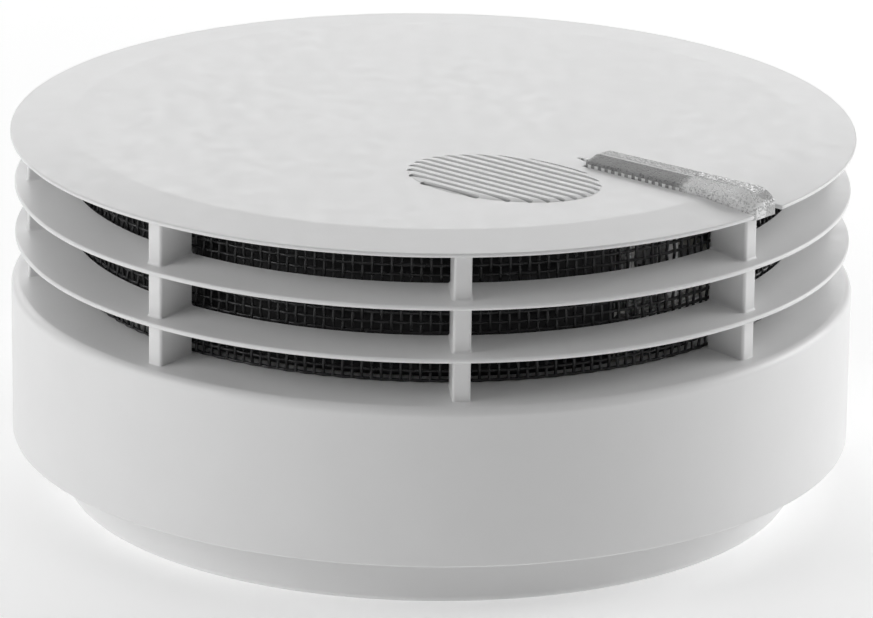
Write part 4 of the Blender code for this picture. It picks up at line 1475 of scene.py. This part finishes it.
        # The tongue widens and rises from its tip: (place along it, share of its full width).
        for part, share in ((0.0, 0.25), (0.3, 0.55), (0.7, 0.85), (1.1, 1.0)):
            half, top = width / 2 * share, self.bottom + height * (0.82 + 0.18 * share)
            ring = rectangle((-half, self.bottom), (half, top), (0, 0, 0.15 * MM, 0.15 * MM), 3)
            r = self.inner + length * part
            loops.append([out * r + across * u + raised(z) for u, z in ring])
        add_loft(bm, loops)

        into_bar = self.bottom + 0.5 * MM
        for spot, radius, foot in (self.stem, self.leg):
            add_prism(bm, circle(out * spot, radius, 40), foot, into_bar)
        radius, foot, thickness = self.collar
        add_prism(bm, circle(out * self.stem[0], radius, 60), foot, foot + thickness)
        bar = mesh_object("test_bar", bm, 30.0)
        settle(bar, Body.BUTTON, Slot.CLEAR, material, "test_button")


# ------------------------------------------------------------------ the base


@dataclass
class BasePlate:
    """Round ceiling plate with a low wall, bayonet hooks, a cable opening and two fixing slots.

    Attributes:
        radius: Outside of its wall.
        height: Height of its wall.
        floor_t: Thickness of its floor.
        wall: Thickness of its wall.
        foot: Rounding of its lower edge.
        cable: Radius of the cable opening.
        fixing: (distance from the axis, length, width) of the fixing slots.
        hook: (inner radius, foot, half angle) of the bayonet hooks.
        hook_drop: How far the hooks stay below the wall's top.
        stop_angle: Angle that the stop at a hook's end takes up.
        hooks: Number of hooks.
    """

    radius: float = 54.6 * MM
    height: float = 11.0 * MM
    floor_t: float = 2.0 * MM
    wall: float = 2.2 * MM
    foot: float = 1.0 * MM
    cable: float = 13.0 * MM
    fixing: Triple = (30.0 * MM, 11.0 * MM, 4.8 * MM)
    hook: Triple = (49.9 * MM, 9.0 * MM, 13.0)
    hook_drop: float = 0.15 * MM
    stop_angle: float = 2.0
    hooks: int = 3

    def profile(self) -> list[Pair]:
        """Gives the section of the floor and the wall."""
        bore = self.radius - self.wall
        corners = [
            (self.cable, 0.0, 0.3 * MM),
            (self.radius, 0.0, self.foot),
            (self.radius, self.height, 0.4 * MM),
            (bore, self.height, 0.4 * MM),
            (bore, self.floor_t, 0.8 * MM),
            (self.cable, self.floor_t, 0.5 * MM),
        ]
        return rounded(corners, 8)

    def build(self, material: Material) -> None:
        """Makes and dresses the base with its hooks.

        Args:
            material: Finish of the casing.
        """
        bm = bmesh.new()
        add_turned(bm, self.profile())
        plate = mesh_object("ceiling_plate", bm)
        spot, length, width = self.fixing
        sideways = Vector((1, 0, 0))
        slots = bmesh.new()
        for side in (-1, 1):
            outline = stadium(sideways * side * spot, sideways, (-length / 2, length / 2), width, 12)
            add_prism(slots, outline, -2 * MM, self.floor_t + 3 * MM)
        cut(plate, [slots])
        soften(plate, 0.2 * MM, 70.0)
        even_normals(plate)
        settle(plate, Body.BASE, Slot.WHITE, material, "base_plate")

        inner, foot, half = self.hook
        into_wall = self.radius - self.wall / 2
        top = self.height - self.hook_drop
        flange = rectangle((inner, foot), (into_wall, top), (0.3 * MM, 0, 0, 0.3 * MM))
        stop = rectangle((inner, self.floor_t / 2), (into_wall, foot + 0.5 * MM))
        bm = bmesh.new()
        for i in range(self.hooks):
            start = i * 360 / self.hooks - half
            add_sector(bm, flange, start, start + 2 * half)
            add_sector(bm, stop, start, start + self.stop_angle)
        hooks = mesh_object("bayonet_hooks", bm)
        soften(hooks, 0.15 * MM, 60.0)
        settle(hooks, Body.BASE, Slot.WHITE, material)


# ------------------------------------------------------------------ what the casing holds


@dataclass
class ReturnSpring:
    """Coil under the bar's collar.

    Attributes:
        node: CAD node that it stands for.
        wire: Radius of the wire.
        turns: Number of turns.
        closed: Share of its turns that lie closed at each end.
        travel: How far its top goes down; not used.
        steps: Points of a turn.
        sides: Sides of the wire.
    """

    node: str = "button_spring"
    wire: float = 0.3 * MM
    turns: float = 4.0
    closed: float = 0.12
    travel: float = 0.6 * MM
    steps: int = 36
    sides: int = 12

    def build(self, material: Material) -> None:
        """Makes and dresses the spring.

        Args:
            material: Finish of the wire.
        """
        low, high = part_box(self.node)
        middle = (low + high) / 2
        radius = (high.x - low.x) / 2 - self.wire
        rise = high.z - low.z - 2 * self.wire
        count = int(self.turns * self.steps)
        ring = circle(raised(0), 1, self.sides)
        loops = []
        for i in range(count + 1):
            share = i / count
            out = heading(360 * self.turns * share)
            climb = min(1.0, max(0.0, (share - self.closed) / (1 - 2 * self.closed)))
            point = Vector((middle.x, middle.y, low.z + self.wire + rise * climb)) + out * radius
            loops.append([point + (out * u + raised(z)) * self.wire for u, z in ring])
        bm = bmesh.new()
        add_loft(bm, loops)
        spring = mesh_object("return_spring", bm)
        settle(spring, Body.HEAD, Slot.STEEL, material, self.node)
        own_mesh(spring)


@dataclass
class InnerWorks:
    """Pieces of the frame that keep their shape and get a finish.

    Attributes:
        finishes: Every finish of the detector.
    """

    finishes: Finishes

    def assignments(self) -> list[tuple[object, tuple[str, ...]]]:
        """Pairs each finish with the nodes that it covers."""
        every = self.finishes
        return [
            (every.casing, ("back_plate", "resonator_cap")),
            (every.black, ("chamber_base", "chamber_cover", "sounder_housing")),
            (every.part, ("microcontroller", "capacitor", "photodiode", "switch_body")),
            (every.nylon, ("switch_plunger",)),
            (every.sleeve, ("battery",)),
            (every.brass, ("contact_positive", "contact_negative", "piezo_disc")),
            (every.steel, tuple(f"assembly_screw_{i}" for i in (1, 2, 3))),
            (every.steel, ("piezo_spring_1", "piezo_spring_2")),
            (every.board, ("circuit_board",)),
            (every.winding, ("inductor",)),
            (every.foam, ("sounder_gasket",)),
            (every.emitter, ("infrared_led",)),
            (every.status, ("status_led",)),
        ]

    def build(self, materials: dict[str, Material], nodes: dict[str, Object]) -> None:
        """Dresses the nodes.

        Args:
            materials: Built materials by finish name.
            nodes: The frame's nodes by name.
        """
        for finish, names in self.assignments():
            for name in names:
                dress(nodes[name], materials[finish.name])
            log.info("%s on %s", finish.name, ", ".join(names))


# ------------------------------------------------------------------ studio


@dataclass(frozen=True)
class Softbox:
    """Large soft lamp aimed at the detector.

    Attributes:
        name: Name of the lamp.
        azimuth: Where it stands, in degrees from the front towards +X.
        elevation: Its height in degrees.
        distance: Its distance.
        size: (width, height) of its face.
        level: Light on a face turned to it, where 1 would make white paper white.
    """

    name: str
    azimuth: float
    elevation: float
    distance: float
    size: Pair
    level: float

    def place(self, aim: Vector) -> None:
        """Puts the lamp in the scene.

        Args:
            aim: Point that it faces.
        """
        lift = math.radians(self.elevation)
        out = heading(self.azimuth) * math.cos(lift) + raised(math.sin(lift))
        lamp = bpy.data.lights.new(self.name, "AREA")
        lamp.shape = "RECTANGLE"
        lamp.size, lamp.size_y = self.size
        lamp.energy = self.level * (math.pi * self.distance) ** 2
        obj = linked(self.name, lamp)
        obj.location = aim + out * self.distance
        obj.rotation_euler = out.to_track_quat("Z", "Y").to_euler()


@dataclass
class Studio:
    """Pale floor, soft lamps and the camera.

    Attributes:
        aim_z: Height of the point on the axis that the lamps and the camera face.
        elevation: Camera's height in degrees.
        distance: Camera's distance.
        roll: Turn of the camera about its own axis in degrees.
        lens: Focal length in millimetres on a 36 mm sensor.
        shift: Sideways shift of the frame.
        ambient: Brightness of the even light from all round.
        floor_size: Width of the floor.
        floor_z: Height of the floor.
        floor_glow: Brightness that the floor adds to its own light.
        lamps: The soft lamps.
    """

    aim_z: float = 26.114 * MM
    elevation: float = 18.19
    distance: float = 0.92311
    roll: float = 0.75
    lens: float = 254.9
    shift: float = 0.0062
    ambient: float = 0.11
    floor_size: float = 5.0
    floor_z: float = -0.05 * MM
    floor_glow: float = 0.32
    lamps: tuple[Softbox, ...] = (
        Softbox("left_softbox", -75.0, 20.0, 0.75, (0.55, 0.45), 0.46),
        Softbox("right_softbox", 110.0, 18.0, 0.80, (0.55, 0.40), 0.63),
        Softbox("front_right_softbox", 60.0, 42.0, 0.80, (0.50, 0.50), 0.09),
        Softbox("back_softbox", -168.0, 20.0, 0.90, (1.10, 0.35), 0.42),
        Softbox("top_softbox", -140.0, 72.0, 0.80, (0.60, 0.60), 0.11),
    )

    def build_floor(self) -> None:
        """Makes the pale floor."""
        bm = bmesh.new()
        half = self.floor_size / 2
        bm.faces.new([bm.verts.new((x, y, self.floor_z)) for x, y in rectangle((-half, -half), (half, half))])
        floor = mesh_object("floor", bm)
        sheet = NodeSheet("floor_paper")
        fibre = sheet.noise(1.2 * MM)
        tint = sheet.blend(sheet.noise(40 * MM), (0.84, 0.84, 0.84), (0.86, 0.86, 0.86))
        sheet.surface(Base_Color=tint, Roughness=0.9, Normal=sheet.bump(fibre, 0.005 * MM))
        sheet.surface(Emission_Color=(1.0, 1.0, 1.0, 1.0), Emission_Strength=self.floor_glow)
        floor.data.materials.append(sheet.material)

    def build_air(self) -> None:
        """Sets the even light from all round."""
        world = bpy.data.worlds.new("studio_air")
        world.use_nodes = True
        background = world.node_tree.nodes["Background"]
        background.inputs["Color"].default_value = (1.0, 1.0, 1.0, 1.0)
        background.inputs["Strength"].default_value = self.ambient
        scene = bpy.context.scene
        scene.world = world
        scene.view_settings.view_transform = "Standard"
        scene.view_settings.look = "None"

    def build_camera(self, aim: Vector) -> None:
        """Places the camera.

        Args:
            aim: Point that it faces.
        """
        lift, roll = math.radians(self.elevation), math.radians(self.roll)
        back = Vector((0.0, -math.cos(lift), math.sin(lift)))
        up = Vector((0.0, math.sin(lift), math.cos(lift)))
        right = Vector((1.0, 0.0, 0.0))
        rolled_right = right * math.cos(roll) + up * math.sin(roll)
        rolled_up = up * math.cos(roll) - right * math.sin(roll)
        camera = bpy.data.cameras.new("camera")
        camera.sensor_width = 36.0
        camera.lens = self.lens
        camera.shift_x = self.shift
        camera.clip_start = 0.05
        obj = linked("camera", camera)
        turn = Matrix((rolled_right, rolled_up, back)).transposed().to_4x4()
        obj.matrix_world = Matrix.Translation(aim + back * self.distance) @ turn
        bpy.context.scene.camera = obj

    def build(self) -> None:
        """Makes the floor, the light and the camera."""
        aim = raised(self.aim_z)
        self.build_camera(aim)
        self.build_floor()
        self.build_air()
        for lamp in self.lamps:
            lamp.place(aim)
            log.info("%s at %.0f degrees", lamp.name, lamp.azimuth)


def main() -> None:
    """Builds the studio and every piece."""
    logging.basicConfig(level=logging.INFO, format="%(name)s %(message)s")
    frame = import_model()
    Studio().build()

    finishes = Finishes()
    materials = {finish.name: finish.material() for finish in vars(finishes).values()}
    casing = materials[finishes.casing.name]
    grille, bar = Grille(), TestBar()
    BasePlate().build(casing)
    OuterShell().build(casing)
    Louvre("louvre_low", "lower_louvre", 0, lambda r: HEAD.louvre_under(1, r)).build(casing)
    under_bar = (1, 53.7 * MM)
    high = Louvre("louvre_high", "upper_louvre", 1, lambda r: HEAD.rim_z + 0.1 * MM, lowered=under_bar)
    high.build(casing)
    TopCover().build(grille, bar, casing)
    grille.build(casing)
    InsectScreen().build(materials[finishes.screen.name])
    # Painted shade: a black strip behind the screen darkens the inside seen through it.
    PaintedShadeStrip().build(materials[finishes.black.name])
    bar.build(materials[finishes.bar.name])
    ReturnSpring().build(materials[finishes.steel.name])
    InnerWorks(finishes).build(materials, frame["nodes"])

    log.info("boxes written")


if __name__ == "__main__":
    main()
